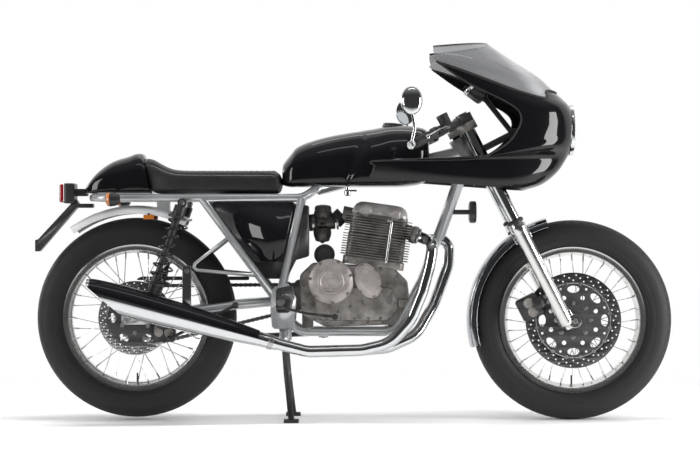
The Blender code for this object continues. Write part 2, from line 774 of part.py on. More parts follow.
def build_swingarm():
    def arm():
        path = [(-0.237, -0.060, SWINGARM_PIVOT.z), (-0.285, -0.066, 0.383), (-0.375, -SWINGARM_Y, 0.376)]
        path += [(REAR_AXLE.x, -SWINGARM_Y, REAR_AXLE.z)]
        lug = block((-0.670, -0.110, 0.338), (-0.640, -0.098, SHOCK_FOOT.z + 0.014))
        stud = cross_rod(SHOCK_FOOT.x, SHOCK_FOOT.z, SHOCK_FOOT.y - 0.014, -0.105, STUD_RADIUS, 8)
        end = block((REAR_AXLE.x - 0.040, -0.1125, REAR_AXLE.z - 0.019), (REAR_AXLE.x + 0.045, -0.0845, REAR_AXLE.z + 0.019))
        return fuse(tube(bent(path, 0.05, 2), SWINGARM_RADIUS, 8), lug, stud, end)

    right, left = both_sides(arm)
    x, z = SWINGARM_PIVOT.x, SWINGARM_PIVOT.z
    whole = fuse(cross_rod(x, z, -0.082, 0.082, 0.018, 12), right, left, cross_rod(-0.325, 0.380, -0.085, 0.062, 0.011, 8))
    bolt = cross_rod(x, z, -0.09, 0.09, 0.008 + SEAT, 12)
    axle_hole = cross_rod(REAR_AXLE.x, REAR_AXLE.z, -0.13, 0.13, AXLE_RADIUS + SEAT, 12)
    arm_piece = cut(whole, bolt, axle_hole)
    finish(arm_piece, "swingarm", "frame_silver")
    nut = cross_rod(REAR_AXLE.x, REAR_AXLE.z, -0.1250, -0.1125 - SEAT, 0.014, 6)
    axle = cross_rod(REAR_AXLE.x, REAR_AXLE.z, -0.127, 0.127, AXLE_RADIUS, 12)
    finish(fuse(axle, other_side(nut), nut), "rear_axle", "steel")
    return arm_piece


def build_shocks():
    along = (SHOCK_FOOT - SHOCK_TOP).normalized()
    length = (SHOCK_FOOT - SHOCK_TOP).length

    def at(share):
        return SHOCK_TOP + along * length * share

    def damper():
        eyes = [cross_rod(p.x, p.z, p.y - 0.011, p.y + 0.011, 0.0145, 10) for p in (SHOCK_TOP, SHOCK_FOOT)]
        shapes = [
            rod(at(0.02), at(0.15), 0.020, 10),
            rod(at(0.14), at(0.165), 0.030, 12),
            rod(at(0.15), at(0.97), 0.0125, 8),
            rod(at(0.84), at(0.865), 0.030, 12),
        ]
        holes = [cross_rod(p.x, p.z, p.y - 0.02, p.y + 0.02, STUD_RADIUS + SEAT, 8) for p in (SHOCK_TOP, SHOCK_FOOT)]
        return cut(fuse(eyes[0], *shapes, eyes[1]), *holes)

    def spring():
        wire, coil, turns, steps = 0.0035, 0.0225, 7, 8
        turn = along.to_track_quat("Z", "Y").to_matrix()
        first = length * 0.165 + wire + SEAT
        last = length * 0.84 - wire - SEAT
        path = []
        for i in range(turns * steps + 1):
            angle = math.tau * i / steps
            height = first + (last - first) * i / (turns * steps)
            path.append(SHOCK_TOP + turn @ Vector((coil * math.cos(angle), coil * math.sin(angle), height)))
        return tube(path, wire, 4)

    for build, name, material in ((damper, "shock", "satin_black"), (spring, "spring", "satin_black")):
        right, left = both_sides(build)
        finish(right, f"{name}_right", material)
        finish(left, f"{name}_left", material)


def gutter(radius, half, drop, wall):
    """A fender's section: crowned, with its edges turned down."""
    outer = [(radius - drop, -half), (radius - drop * 0.35, -half * 0.93), (radius, -half * 0.62)]
    outer += [(r, -y) for r, y in reversed(outer)]
    inner = [(r if abs(y) > half * 0.99 else r - wall * 0.85, y * (1 - wall * 0.8 / half)) for r, y in outer]
    return outer + inner[::-1]


def fender(radius, half, drop, wall, low_angle, high_angle, steps):
    """A fender about the wheel's axle, between two angles above the forward direction."""
    low, high = math.radians(low_angle), math.radians(high_angle)
    return turned(gutter(radius, half, drop, wall), steps, closed=True, sweep=high - low, start=-high)


def build_rear_fender(frame, arm):
    guard = changed(fender(0.365, 0.072, 0.026, 0.003, 62, 126, 11), Matrix.Translation(REAR_AXLE))
    bracket = block((-0.640, -0.040, REAR_AXLE.z + 0.345), (-0.600, 0.040, RAIL_Z), 0.003)
    guard = main_body(carve(fuse(guard, bracket), frame))
    finish(guard, "rear_fender", "frame_silver")
    return guard


def build_front_end(sliders, tubes):
    """Fender, caliper, bars and mirrors, all carried by the fork."""
    axle_x = FORK_OFFSET + AXLE_LEAD
    guard = changed(fender(WHEEL_RADIUS + 0.018, 0.062, 0.030, 0.003, 78, 168, 14), FRONT_WHEEL.matrix_local)
    mounts = [block((FORK_OFFSET - 0.03, s * 0.066 - 0.009, 0.300), (FORK_OFFSET + 0.03, s * 0.066 + 0.009, 0.345), 0.003) for s in (-1, 1)]
    guard = main_body(carve(fuse(guard, *mounts), *sliders))
    finish(guard, "front_fender", "chrome", STEERING)

    body = block((-0.078, -0.096, 0.064), (-0.004, -0.032, 0.140), 0.007)
    bracket = block((-0.030, -0.104, 0.084), (0.030, -0.082, 0.122), 0.003)
    slot = cross_rod(axle_x, 0.0, FRONT_DISC_Y - 0.0075, FRONT_DISC_Y + 0.0075, FRONT_DISC_RADIUS + 0.006, 40)
    caliper = main_body(carve(cut(fuse(body, bracket), slot), sliders[0]))
    finish(caliper, "front_caliper", "satin_black", STEERING)

    clamp_height = TOP_YOKE_HEIGHT + YOKE_THICKNESS + SEAT
    start = Vector((FORK_OFFSET - 0.006, -FORK_SPREAD - 0.022, clamp_height + 0.014))
    tip = start + BAR_REACH
    along = (tip - start).normalized()

    def bar():
        clamp = rod((FORK_OFFSET, -FORK_SPREAD, clamp_height), (FORK_OFFSET, -FORK_SPREAD, clamp_height + 0.028), 0.031, 12)
        pipe = rod(start, tip, 0.011, 8)
        grip = rod(tip - along * 0.125, tip - along * 0.004, 0.0165, 10)
        perch = rod(tip - along * 0.160, tip - along * 0.135, 0.018, 10)
        knuckle = tip - along * 0.148 + Vector((0.034, 0.004, 0.004))
        lever_end = tip + Vector((0.052, 0.010, 0.0))
        arm = rod(tip - along * 0.148, knuckle, 0.008, 6)
        lever = rod(knuckle, lever_end, 0.0055, 6, 0.0045)
        return fuse(pipe, clamp, grip, perch, arm, lever)

    right, left = both_sides(bar)
    reservoir_foot = tip - along * 0.165
    reservoir = rod(reservoir_foot + Vector((0.022, 0, 0.0)), reservoir_foot + Vector((0.022, 0, 0.045)), 0.019, 10)
    right = fuse(right, reservoir)
    right, left = carve(right, tubes[0]), carve(left, tubes[1])
    right, left = main_body(right), main_body(left)
    finish(right, "handlebar_right", "satin_black", STEERING)
    finish(left, "handlebar_left", "satin_black", STEERING)

    def mirror():
        end = on_axis(tip.z, tip.x, tip.y)
        out = (STEERING_FRAME.to_3x3() @ along).normalized()
        base = end + out * 0.0006
        plug = rod(base, base + out * 0.020, 0.013, 8)
        head = end + Vector((-0.006, -0.022, 0.135))
        elbow = end + Vector((0.005, -0.012, 0.050))
        stem = tube(bent([base + out * 0.012, elbow, head - Vector((0, 0, 0.02))], 0.03, 2), 0.005, 6)
        bm = bmesh.new()
        place = Matrix.Translation(head) @ Matrix.Diagonal((0.034, 0.020, 0.045, 1.0))
        bmesh.ops.create_uvsphere(bm, u_segments=12, v_segments=8, radius=1.0, matrix=place)
        return in_steering(fuse(from_bmesh(bm), plug, stem))

    mirrors = both_sides(mirror)
    for obj, side in zip(mirrors, ("right", "left")):
        finish(obj, f"mirror_{side}", "chrome", STEERING)


def build_rear_caliper(arm):
    """The caliper on its bracket, with the stay that takes its torque to the swingarm."""
    x, z = REAR_AXLE.x + 0.095, REAR_AXLE.z - 0.044
    body = block((x - 0.036, -0.100, z - 0.032), (x + 0.036, -0.036, z + 0.030), 0.006)
    bracket = block((x - 0.015, -0.108, z + 0.010), (x + 0.015, -0.090, z + 0.060), 0.002)
    slot = cross_rod(REAR_AXLE.x, REAR_AXLE.z, REAR_DISC_Y - 0.0075, REAR_DISC_Y + 0.0075, REAR_DISC_RADIUS + 0.006, 36)
    stay_end, stay_y = (-0.380, 0.376), -0.119
    stay = [
        rod((x + 0.020, stay_y, z - 0.020), (stay_end[0], stay_y, stay_end[1]), 0.005, 8),
        cross_rod(x + 0.020, z - 0.020, stay_y - 0.005, -0.095, 0.009, 10),
        cross_rod(*stay_end, stay_y - 0.005, -0.108, 0.011, 10),
    ]
    whole = fuse(cut(fuse(body, bracket), slot), *stay)
    finish(main_body(carve(whole, arm)), "rear_caliper", "satin_black")


def build_chain_guard(arm):
    outline = [(-0.345, 0.452), (-0.345, 0.464), (-0.700, 0.464), (-0.725, 0.452)]
    guard = plate([outline], 0.066, 0.0985)
    stem = block((-0.560, 0.092, 0.340), (-0.545, 0.104, 0.455), 0.001)
    finish(main_body(carve(fuse(guard, stem), arm)), "chain_guard", "satin_black")


def lean(height, forward=0.0, y=0.0):
    """A place in the leaning cylinder's frame, in world coordinates."""
    return CYLINDER_FOOT + Matrix.Rotation(CYLINDER_LEAN, 3, "Y") @ Vector((forward, y, height))


def slab(height, half_x, half_y, corner=0.022, forward=0.0):
    """A rounded rectangle across the cylinder's axis."""
    ring = rounded([(-half_x, -half_y), (half_x, -half_y), (half_x, half_y), (-half_x, half_y)], corner, 2)
    return [lean(height, x + forward, y) for x, y in ring]


def finned(base, count, pitch, thickness, fin, core):
    """Sections of a finned block: each fin stands out from the core."""
    sections = []
    for i in range(count):
        low = base + i * pitch
        sections += [slab(low, *core), slab(low, *fin), slab(low + thickness, *fin), slab(low + thickness, *core)]
    return sections


def cover(x, z, radius, y_foot, y_face, chamfer, sides):
    """A round engine cover whose outer edge is chamfered."""
    shoulder = y_face + math.copysign(chamfer, y_foot - y_face)
    profile = [(0.0, y_foot), (radius, y_foot), (radius, shoulder), (radius - chamfer, y_face), (0.0, y_face)]
    return changed(turned(profile, sides), Matrix.Translation((x, 0.0, z)))


def oval(x, z, long, short, inset, sides=20, tilt=math.radians(25)):
    """An oval outline whose long axis leans back at its top."""
    outline = []
    for i in range(sides):
        angle = math.tau * i / sides
        u, v = (short - inset) * math.cos(angle), (long - inset) * math.sin(angle)
        outline.append((x + u * math.cos(tilt) - v * math.sin(tilt), z + u * math.sin(tilt) + v * math.cos(tilt)))
    return outline


def build_engine(frame):
    outline = [(-0.168, 0.345), (-0.172, 0.470), (-0.130, 0.510), (0.125, 0.496)]
    outline += [(0.172, 0.450), (0.180, 0.380), (0.130, 0.312), (-0.090, 0.304)]
    case = plate([rounded(outline, 0.022, 3)], -0.078, 0.055)
    cover_outline = [(-0.192, 0.352), (-0.198, 0.452), (-0.030, 0.470), (-0.030, 0.370)]
    tip = FRONT_SPROCKET_PATH - CHAIN_HEIGHT / 2 - 0.0004
    deck = loft([slab(-0.002, 0.100, 0.076), slab(0.0235, 0.100, 0.076)])
    shapes = [
        cover(-0.074, 0.451, 0.074, -0.068, -0.109, 0.010, 26),
        plate([oval(0.046, 0.455, 0.060, 0.041, 0.0)], -0.098, -0.066),
        plate([oval(0.046, 0.455, 0.060, 0.041, 0.006)], -0.104, -0.090),
        plate([rounded([(-0.120, 0.325), (-0.130, 0.40), (0.130, 0.42), (0.140, 0.36), (0.110, 0.325)], 0.02, 2)], -0.092, -0.07),
        cover(0.020, 0.425, 0.076, 0.045, 0.098, 0.010, 26),
        plate([rounded(cover_outline, 0.015, 2)], 0.087, 0.0925),
        cross_rod(FRONT_SPROCKET.x, FRONT_SPROCKET.z, 0.050, 0.080, tip, 16),
        deck,
        block((0.145, -0.0955, 0.366), (0.206, 0.0955, 0.394), 0.004),
        block((-0.170, -0.035, 0.284), (-0.130, 0.035, 0.346), 0.003),
        block((0.110, -0.035, 0.284), (0.150, 0.035, 0.332), 0.003),
    ]
    case = main_body(carve(fuse(case, *shapes), frame))
    finish(case, "crankcase", "cast_alloy")
    motor = fuse(
        cross_rod(-0.095, 0.538, -0.058, 0.050, 0.034, 18),
        cross_rod(-0.095, 0.538, -0.064, -0.050, 0.024, 12),
    )
    finish(main_body(carve(motor, case)), "starter_motor", "satin_black")

    core = (0.096, 0.076)
    fins = finned(0.0265, 5, 0.0150, 0.0045, (0.110, 0.088), core)
    barrel = loft([slab(0.0240, *core)] + fins + [slab(0.1000, *core)])
    barrel = main_body(carve(barrel, case))
    finish(barrel, "cylinder", "fin_alloy")

    core = (0.094, 0.074)
    fins = finned(0.1040, 4, 0.0155, 0.0045, (0.108, 0.086), core)
    top = [slab(0.166, *core), slab(0.172, 0.090, 0.070), slab(0.194, 0.084, 0.064), slab(0.205, 0.064, 0.046)]
    head = loft([slab(0.1004, *core)] + fins + top)
    ports = [rod(lean(0.135, 0.06, s * 0.045), lean(0.118, 0.128, s * 0.052), 0.024, 12) for s in (-1, 1)]
    inlet = rod(lean(0.150, -0.05, 0), lean(0.155, -0.122, 0), 0.027, 12)
    head = fuse(head, *ports, inlet)
    finish(head, "cylinder_head", "fin_alloy")
    return head


def build_intake(head):
    start = lean(0.155, -0.120, 0)
    body = rod(start, (-0.196, 0, 0.640), 0.026, 10)
    shapes = [
        rod((-0.102, 0, 0.578), (-0.102, 0, 0.604), 0.022, 12, 0.030),
        rod((-0.102, 0, 0.600), (-0.098, 0, 0.700), 0.0303, 12),
        cross_rod(-0.102, 0.640, -0.045, 0.045, 0.012, 8),
    ]
    outline = [(-0.146, 0.698), (-0.146, 0.532), (-0.188, 0.520), (-0.218, 0.460)]
    outline += [(-0.300, 0.460), (-0.336, 0.520), (-0.375, 0.600), (-0.440, 0.698)]
    box = plate([rounded(outline, 0.006, 2)], -0.0755, 0.0755)
    finish(main_body(carve(fuse(body, *shapes), head, box)), "carburettor", "cast_alloy")
    finish(box, "airbox", "satin_black")


def build_side_covers(frame):
    outline = [(-0.462, 0.7075), (-0.189, 0.7075), (-0.229, 0.516), (-0.319, 0.516)]

    def cover():
        panel = plate([rounded(outline, 0.006, 2)], -0.113, -0.0758)
        return main_body(carve(panel, frame))

    right = cover()
    left = other_side(right)
    finish(right, "side_cover_right", "gloss_black")
    finish(left, "side_cover_left", "gloss_black")


def build_exhaust(head, frame):
    right_port, left_port = lean(0.118, 0.128, -0.052), lean(0.118, 0.128, 0.052)
    out = (lean(0.118, 0.128) - lean(0.135, 0.06)).normalized()
    right_path = [right_port + out * SEAT * 2, right_port + out * 0.035 + Vector((0, -0.02, 0)), (0.255, -0.128, 0.572)]
    right_path += [(0.242, -0.134, 0.500), (0.220, -0.134, 0.420), (0.183, -0.134, 0.328)]
    right_path += [(0.117, -0.134, 0.254), (0.027, -0.138, 0.233), (-0.148, -0.143, 0.2286), tuple(MUFFLER_START)]
    left_path = [left_port + out * SEAT * 2, left_port + out * 0.035 + Vector((0, 0.02, 0)), (0.315, 0.075, 0.588)]
    left_path += [(0.312, 0.062, 0.500), (0.262, 0.030, 0.370), (0.205, -0.010, 0.275)]
    left_path += [(0.110, -0.055, 0.236), (0.000, -0.100, 0.229), (-0.080, -0.130, 0.2286)]
    right = tube(bent(right_path, 0.045, 2), 0.019, 8)
    left = tube(bent(left_path, 0.045, 2), 0.019, 8)
    left = main_body(carve(left, right, head))
    right = main_body(carve(right, head))
    finish(left, "header_left", "chrome")

    along = (MUFFLER_END - MUFFLER_START).normalized()
    length = (MUFFLER_END - MUFFLER_START).length
    # share of the length, radius
    stations = [(0.0, 0.0215), (0.10, 0.024), (0.30, 0.035), (0.55, 0.0435), (0.78, 0.0465), (0.93, 0.0430), (1.0, 0.037)]
    turn = along.to_track_quat("Z", "Y").to_matrix()

    def ring(distance, radius, sides=16):
        angles = [math.tau * i / sides for i in range(sides)]
        return [MUFFLER_START + turn @ Vector((radius * math.cos(a), radius * math.sin(a), distance)) for a in angles]

    can = loft([ring(length * share + SEAT, radius) for share, radius in stations])
    hole = rod(MUFFLER_START + along * length * 0.84, MUFFLER_START + along * length * 1.05, 0.030, 12)
    across = Matrix.Rotation(math.pi / 2 + SLASH_LEAN, 4, "Y")
    slash = changed(block((0, -0.1, -0.1), (0.12, 0.1, 0.1)), Matrix.Translation(SLASH_AT) @ across)
    lug = block((-0.548, -0.165, 0.345), (-0.520, -0.1225, 0.505), 0.003)
    can = cut(fuse(can, lug), hole, slash)
    can = main_body(carve(can, frame))
    finish(main_body(carve(right, can)), "header_right", "chrome")
    finish(can, "muffler", "chrome")


def shell_section(x, low, high, half, crown, lower=5.0, upper=2.4, points=16):
    """A closed section across the machine: nearly square below, rounded above."""
    middle = low + (high - low) * crown
    ring = []
    for i in range(points):
        angle = math.tau * i / points
        c, s = math.cos(angle), math.sin(angle)
        power = upper if s > 0 else lower
        reach = high - middle if s > 0 else middle - low
        y = half * math.copysign(abs(c) ** (2 / power), c)
        z = middle + reach * math.copysign(abs(s) ** (2 / power), s)
        ring.append((x, y, z))
    return ring


def build_tank():
    # x, underside, top, half width
    stations = [
        (-0.232, 0.768, 0.824, 0.062),
        (-0.226, 0.759, 0.838, 0.088),
        (-0.205, 0.757, 0.864, 0.102),
        (-0.183, 0.757, 0.888, 0.110),
        (-0.137, 0.757, 0.908, 0.117),
        (-0.090, 0.757, 0.924, 0.120),
        (-0.030, 0.757, 0.937, 0.122),
        (-0.005, 0.757, 0.942, 0.126),
        (0.025, 0.757, 0.947, 0.143),
        (0.098, 0.757, 0.956, 0.147),
        (0.160, 0.758, 0.958, 0.140),
        (0.215, 0.766, 0.952, 0.118),
        (0.245, 0.790, 0.934, 0.085),
    ]
    shell = loft([shell_section(x, low, high, half, 0.42) for x, low, high, half in stations])
    cap = rod((0.128, 0, 0.940), (0.130, 0, 0.9665), 0.034, 24)
    spine = on_axis(HEAD_TUBE_MIDDLE + 0.02)
    slope = (spine.z - BACKBONE_END.z) / (spine.x - BACKBONE_END.x)
    front_x, rear_x = 0.30, -0.15
    roof = BACKBONE_RADIUS + 0.006
    front_z = BACKBONE_END.z + slope * (front_x - BACKBONE_END.x) + roof * 1.1
    rear_z = BACKBONE_END.z + slope * (rear_x - BACKBONE_END.x) + roof * 1.1
    tunnel = plate([[(rear_x, 0.70), (front_x, 0.70), (front_x, front_z), (rear_x, rear_z)]], -0.030, 0.030)
    tap = rod((-0.020, -0.080, 0.770), (-0.020, -0.080, 0.728), 0.011, 12)
    notch = block((BACKBONE_END.x - 0.050, -RAIL_Y - 0.020, 0.740), (BACKBONE_END.x + 0.022, RAIL_Y + 0.020, 0.778))
    tank = fuse(main_body(cut(shell, tunnel, notch)), cap, tap)
    finish(tank, "fuel_tank", "gloss_black")


# The plane where seat and cowl meet, from below to above, as x and z
SEAT_JOINT = ((-0.648, 0.700), (-0.690, 0.900))


def build_seat():
    # x, underside, top, half width
    base = RAIL_Z + RAIL_RADIUS + SEAT
    pad = [(-0.2323, 0.806, 0.098), (-0.240, 0.812, 0.105), (-0.300, 0.811, 0.110), (-0.450, 0.811, 0.118)]
    pad += [(-0.560, 0.812, 0.120), (-0.605, 0.822, 0.118), (-0.650, 0.846, 0.108), (-0.700, 0.864, 0.104)]
    seat = loft([shell_section(x, base, top, half, 0.45, 6.0, 3.2) for x, top, half in pad])
    hump = [(-0.630, 0.838, 0.110), (-0.684, 0.864, 0.109), (-0.730, 0.858, 0.110), (-0.784, 0.840, 0.106)]
    hump += [(-0.830, 0.808, 0.094), (-0.858, 0.775, 0.078), (-0.872, 0.752, 0.055)]
    cowl = loft([shell_section(x, base, top, half, 0.40, 6.0, 2.6) for x, top, half in hump])
    (low_x, low_z), (high_x, high_z) = SEAT_JOINT
    ahead, behind = high_x + 0.20, high_x - 0.25
    wedge = [(low_x, low_z), (high_x, high_z)]
    rear_side = plate([[(x + SEAT / 2, z) for x, z in wedge] + [(behind, high_z), (behind, low_z)]], -0.2, 0.2)
    front_side = plate([[(x - SEAT / 2, z) for x, z in wedge] + [(ahead, high_z), (ahead, low_z)]], -0.2, 0.2)
    seat = cut(seat, rear_side)
    cowl = cut(cowl, front_side)
    finish(seat, "seat", "seat_leather")
    finish(cowl, "seat_cowl", "gloss_black")
    return cowl


def build_tail(cowl, guard, frame):
    lamp = block((-0.957, -0.046, 0.704), (-0.907, 0.046, 0.770), 0.006)
    stem = block((-0.915, -0.022, 0.728), (-0.846, 0.022, 0.752), 0.002)
    lamp = main_body(carve(fuse(lamp, stem), cowl, frame))
    finish(lamp, "tail_lamp", "red_lens")
    outline = [(-0.894, 0.700), (TAIL_X + 0.012, 0.548), (TAIL_X, 0.548), (TAIL_X, 0.585), (TAIL_X + 0.010, 0.588), (-0.906, 0.718)]
    holder = plate([outline], -0.030, 0.030)
    foot = block((-0.912, -0.030, 0.690), (-0.850, 0.030, 0.7035), 0.002)
    holder = main_body(carve(fuse(holder, foot), lamp, frame, guard))
    finish(holder, "plate_holder", "satin_black")

    def indicator():
        arm = cross_rod(-0.765, 0.716, -0.150, -0.110, 0.007, 6)
        pod = rod((-0.792, -0.168, 0.716), (-0.745, -0.168, 0.716), 0.024, 12, 0.015)
        return main_body(carve(fuse(arm, pod), frame))

    right = indicator()
    left = other_side(right)
    finish(right, "rear_indicator_right", "amber")
    finish(left, "rear_indicator_left", "amber")


# x and z at the front, x and z at the rear edge, half width, squareness of the plan
FAIRING_ROWS = [
    (0.558, 0.747, 0.050, 0.786, 0.168, 3.6),
    (0.614, 0.766, 0.058, 0.800, 0.180, 3.2),
    (0.663, 0.805, 0.066, 0.822, 0.187, 2.8),
    (0.694, 0.850, 0.075, 0.838, 0.190, 2.5),
    (0.714, 0.892, 0.367, 0.843, 0.193, 2.4),
    (0.725, 0.940, 0.445, 0.866, 0.193, 2.3),
    (0.718, 0.988, 0.511, 0.920, 0.190, 2.3),
    (0.700, 1.022, 0.522, 1.000, 0.187, 2.3),
    (0.682, 1.042, 0.363, 1.086, 0.188, 2.3),
    (0.659, 1.062, 0.262, 1.156, 0.184, 2.3),
]
SCREEN_ROWS = [
    (0.6585, 1.0625, 0.262, 1.158, 0.184, 2.3),
    (0.612, 1.108, 0.258, 1.170, 0.181, 2.3),
    (0.5655, 1.140, 0.255, 1.182, 0.177, 2.3),
    (0.519, 1.169, 0.2535, 1.193, 0.170, 2.3),
    (0.437, 1.2236, 0.2535, 1.207, 0.158, 2.3),
]


HEADLIGHT_RADIUS = 0.080
HEADLIGHT_Z = 0.943


def bowed(rows, columns):
    """Rows that sweep from one rear edge round the front to the other."""
    made = []
    for front_x, front_z, rear_x, rear_z, half, power in rows:
        row = []
        for i in range(-columns, columns + 1):
            angle = math.pi / 2 * i / columns
            ahead = math.cos(angle) ** (2 / power) if abs(i) < columns else 0.0
            y = half * math.copysign(abs(math.sin(angle)) ** (2 / power), i)
            row.append((rear_x + (front_x - rear_x) * ahead, y, rear_z + (front_z - rear_z) * ahead))
        made.append(row)
    return made


def build_fairing():
    fairing = sheet(bowed(FAIRING_ROWS, 8), 0.004)
    fairing = cut(fairing, rod((0.600, 0, HEADLIGHT_Z), (0.80, 0, HEADLIGHT_Z), HEADLIGHT_RADIUS + 0.003, 24))
    screen = sheet(bowed(SCREEN_ROWS, 8), 0.003)
    screen = main_body(carve(screen, fairing))
    finish(screen, "windscreen", "screen_grey")

    # x, radius
    bowl = [(0.598, 0.035), (0.615, 0.056), (0.650, 0.074), (0.690, HEADLIGHT_RADIUS)]
    bowl += [(0.712, HEADLIGHT_RADIUS), (0.722, 0.071), (0.729, 0.045)]
    sides = 24

    def ring(x, radius):
        angles = [math.tau * i / sides for i in range(sides)]
        return [(x, radius * math.cos(a), HEADLIGHT_Z + radius * math.sin(a)) for a in angles]

    lamp = loft([ring(x, radius) for x, radius in bowl])
    finish(lamp, "headlight", "lamp_glass")

    root = on_axis(HEAD_TUBE_MIDDLE, HEAD_TUBE_RADIUS + SEAT)
    neck = on_axis(HEAD_TUBE_MIDDLE, 0.170)
    shapes = [
        rod(neck, (0.612, 0, 0.950), 0.011, 8),
        rod(neck, on_axis(0.800, 0.135), 0.009, 8),
        cross_rod(0.560, 0.952, -0.200, 0.200, 0.008, 6),
    ]
    for side in (-1, 1):
        shapes.append(rod(on_axis(0.778, 0.150, side * 0.044), on_axis(0.836, 0.122, side * 0.044), 0.039, 14))
    shapes.append(rod(on_axis(0.785, 0.150, -0.044), on_axis(0.785, 0.150, 0.044), 0.010, 8))
    shapes.append(block(neck - Vector((0.016, 0.014, 0.016)), neck + Vector((0.016, 0.014, 0.016)), 0.004))
    stay = fuse(rod(root, neck, 0.011, 8), *shapes)
    stay = main_body(carve(stay, fairing, lamp))
    finish(stay, "instruments", "satin_black")
    finish(fairing, "fairing", "gloss_black")


def build_small(frame):
    horn = fuse(
        rod((0.376, 0, 0.676), (0.400, 0, 0.676), 0.036, 14),
        rod((0.345, 0, 0.676), (0.380, 0, 0.676), 0.008, 8),
        rod((0.310, 0, 0.676), (0.350, 0, 0.676), 0.008, 8),
    )
    finish(main_body(carve(horn, frame)), "horn", "satin_black")

    def footrest():
        face = -PLATE_Y - PLATE_THICKNESS / 2 - SEAT
        outline = [(-0.250, 0.352), (-0.250, 0.430), (-0.200, 0.440), (-0.190, 0.400), (-0.205, 0.352)]
        panel = plate([rounded(outline, 0.008, 1)], face - 0.006, face)
        peg = cross_rod(-0.232, 0.412, face - 0.085, face - 0.004, 0.010, 8)
        lever = tube(bent([(-0.215, face - 0.012, 0.365), (-0.150, face - 0.014, 0.350), (-0.060, face - 0.016, 0.340)], 0.03, 2), 0.005, 6)
        toe = cross_rod(-0.060, 0.340, face - 0.050, face - 0.012, 0.008, 6)
        boss = cross_rod(-0.215, 0.365, face - 0.016, face - 0.003, 0.010, 8)
        return cut(fuse(panel, peg, lever, toe, boss), cross_rod(SWINGARM_PIVOT.x, SWINGARM_PIVOT.z, face - 0.01, face + 0.01, 0.0095, 12))

    right, left = both_sides(footrest)
    finish(right, "footrest_right", "satin_black")
    finish(left, "footrest_left", "satin_black")


SIDE_STAND_PIVOT = Vector((-0.100, 0.137, 0.274))
SIDE_STAND_AXIS = Vector((0.0, -0.932, -0.3625)).normalized()


def build_stands():
    def leg():
        foot = (STAND_FOOT_X, -STAND_FOOT_Y, 0.008)
        path = [(STAND_PIVOT.x, -0.068, STAND_PIVOT.z), (-0.216, -0.086, 0.150), foot]
        pad = block((STAND_FOOT_X - 0.024, -STAND_FOOT_Y - 0.016, 0.0), (STAND_FOOT_X + 0.024, -STAND_FOOT_Y + 0.016, 0.012))
        return fuse(tube(bent(path, 0.04, 2), 0.0105, 8), pad)

    right, left = both_sides(leg)
    x, z = STAND_PIVOT.x, STAND_PIVOT.z
    stand = fuse(cross_rod(x, z, -0.082, 0.082, 0.0125, 12), right, left, cross_rod(-0.216, 0.150, -0.09, 0.09, 0.009, 6))
    stand = cut(stand, cross_rod(x, z, -0.1, 0.1, 0.0066, 12))
    finish(changed(stand, Matrix.Translation(-STAND_PIVOT)), "centre_stand", "satin_black", CENTRE_STAND)

    axis = SIDE_STAND_AXIS
    eye = rod(SIDE_STAND_PIVOT - axis * 0.009, SIDE_STAND_PIVOT + axis * 0.009, 0.014, 12)
    foot = SIDE_STAND_PIVOT + Vector((-0.235, 0.004, -0.010))
    shapes = [rod(SIDE_STAND_PIVOT + Vector((-0.006, 0, 0)), foot, 0.009, 8, 0.008), block(foot - Vector((0.030, 0.012, 0.010)), foot + Vector((0.014, 0.014, 0.010)), 0.003)]
    bore = rod(SIDE_STAND_PIVOT - axis * 0.03, SIDE_STAND_PIVOT + axis * 0.03, 0.0056, 12)
    stand = cut(fuse(eye, *shapes), bore)
    finish(changed(stand, Matrix.Translation(-SIDE_STAND_PIVOT)), "side_stand", "satin_black", SIDE_STAND)


SIDE_STAND = empty("side_stand_axis", Matrix.Translation(SIDE_STAND_PIVOT))


def main():
    build_front_wheel()
    build_rear_wheel()
    build_chain()
    pieces = build_fork()
    build_front_end(pieces[:2], pieces[2:])
    frame = build_frame()
    arm = build_swingarm()
    build_shocks()
    guard = build_rear_fender(frame, arm)
    build_rear_caliper(arm)
    build_chain_guard(arm)
    head = build_engine(frame)
    build_intake(head)
    build_side_covers(frame)
    build_exhaust(head, frame)
    build_tank()
    cowl = build_seat()
    build_tail(cowl, guard, frame)
    build_fairing()
    build_small(frame)
    build_stands()


main()
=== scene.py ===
"""Looks of the cafe racer: its paint, chrome, castings, rubber and leather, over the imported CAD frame.

Metres, +X forward, +Y to the rider's left, +Z up, as in the CAD.
"""

import json
from math import acos, atan2, copysign, cos, hypot, pi, radians, sin, sqrt, tan, tau

import bmesh
import bpy
from mathutils import Matrix, Vector
from mathutils.bvhtree import BVHTree


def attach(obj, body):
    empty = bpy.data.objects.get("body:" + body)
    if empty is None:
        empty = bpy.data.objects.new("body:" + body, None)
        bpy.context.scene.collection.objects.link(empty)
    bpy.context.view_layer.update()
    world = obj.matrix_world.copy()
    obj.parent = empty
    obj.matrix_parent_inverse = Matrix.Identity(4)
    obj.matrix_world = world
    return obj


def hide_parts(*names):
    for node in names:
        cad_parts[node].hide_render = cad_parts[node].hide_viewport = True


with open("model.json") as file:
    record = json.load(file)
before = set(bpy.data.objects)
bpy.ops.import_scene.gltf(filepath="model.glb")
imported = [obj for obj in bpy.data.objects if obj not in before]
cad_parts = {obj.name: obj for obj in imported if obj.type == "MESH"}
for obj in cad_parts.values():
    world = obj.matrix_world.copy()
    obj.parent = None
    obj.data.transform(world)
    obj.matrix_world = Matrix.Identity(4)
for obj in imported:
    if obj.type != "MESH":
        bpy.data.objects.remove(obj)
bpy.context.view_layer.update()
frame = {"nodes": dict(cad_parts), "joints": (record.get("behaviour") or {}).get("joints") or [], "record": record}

NODES = frame["nodes"]
JOINTS = {joint["name"]: joint for joint in frame["joints"]}
BODY_OF = {node: body for body, nodes in frame["record"]["behaviour"]["bodies"].items() for node in nodes}

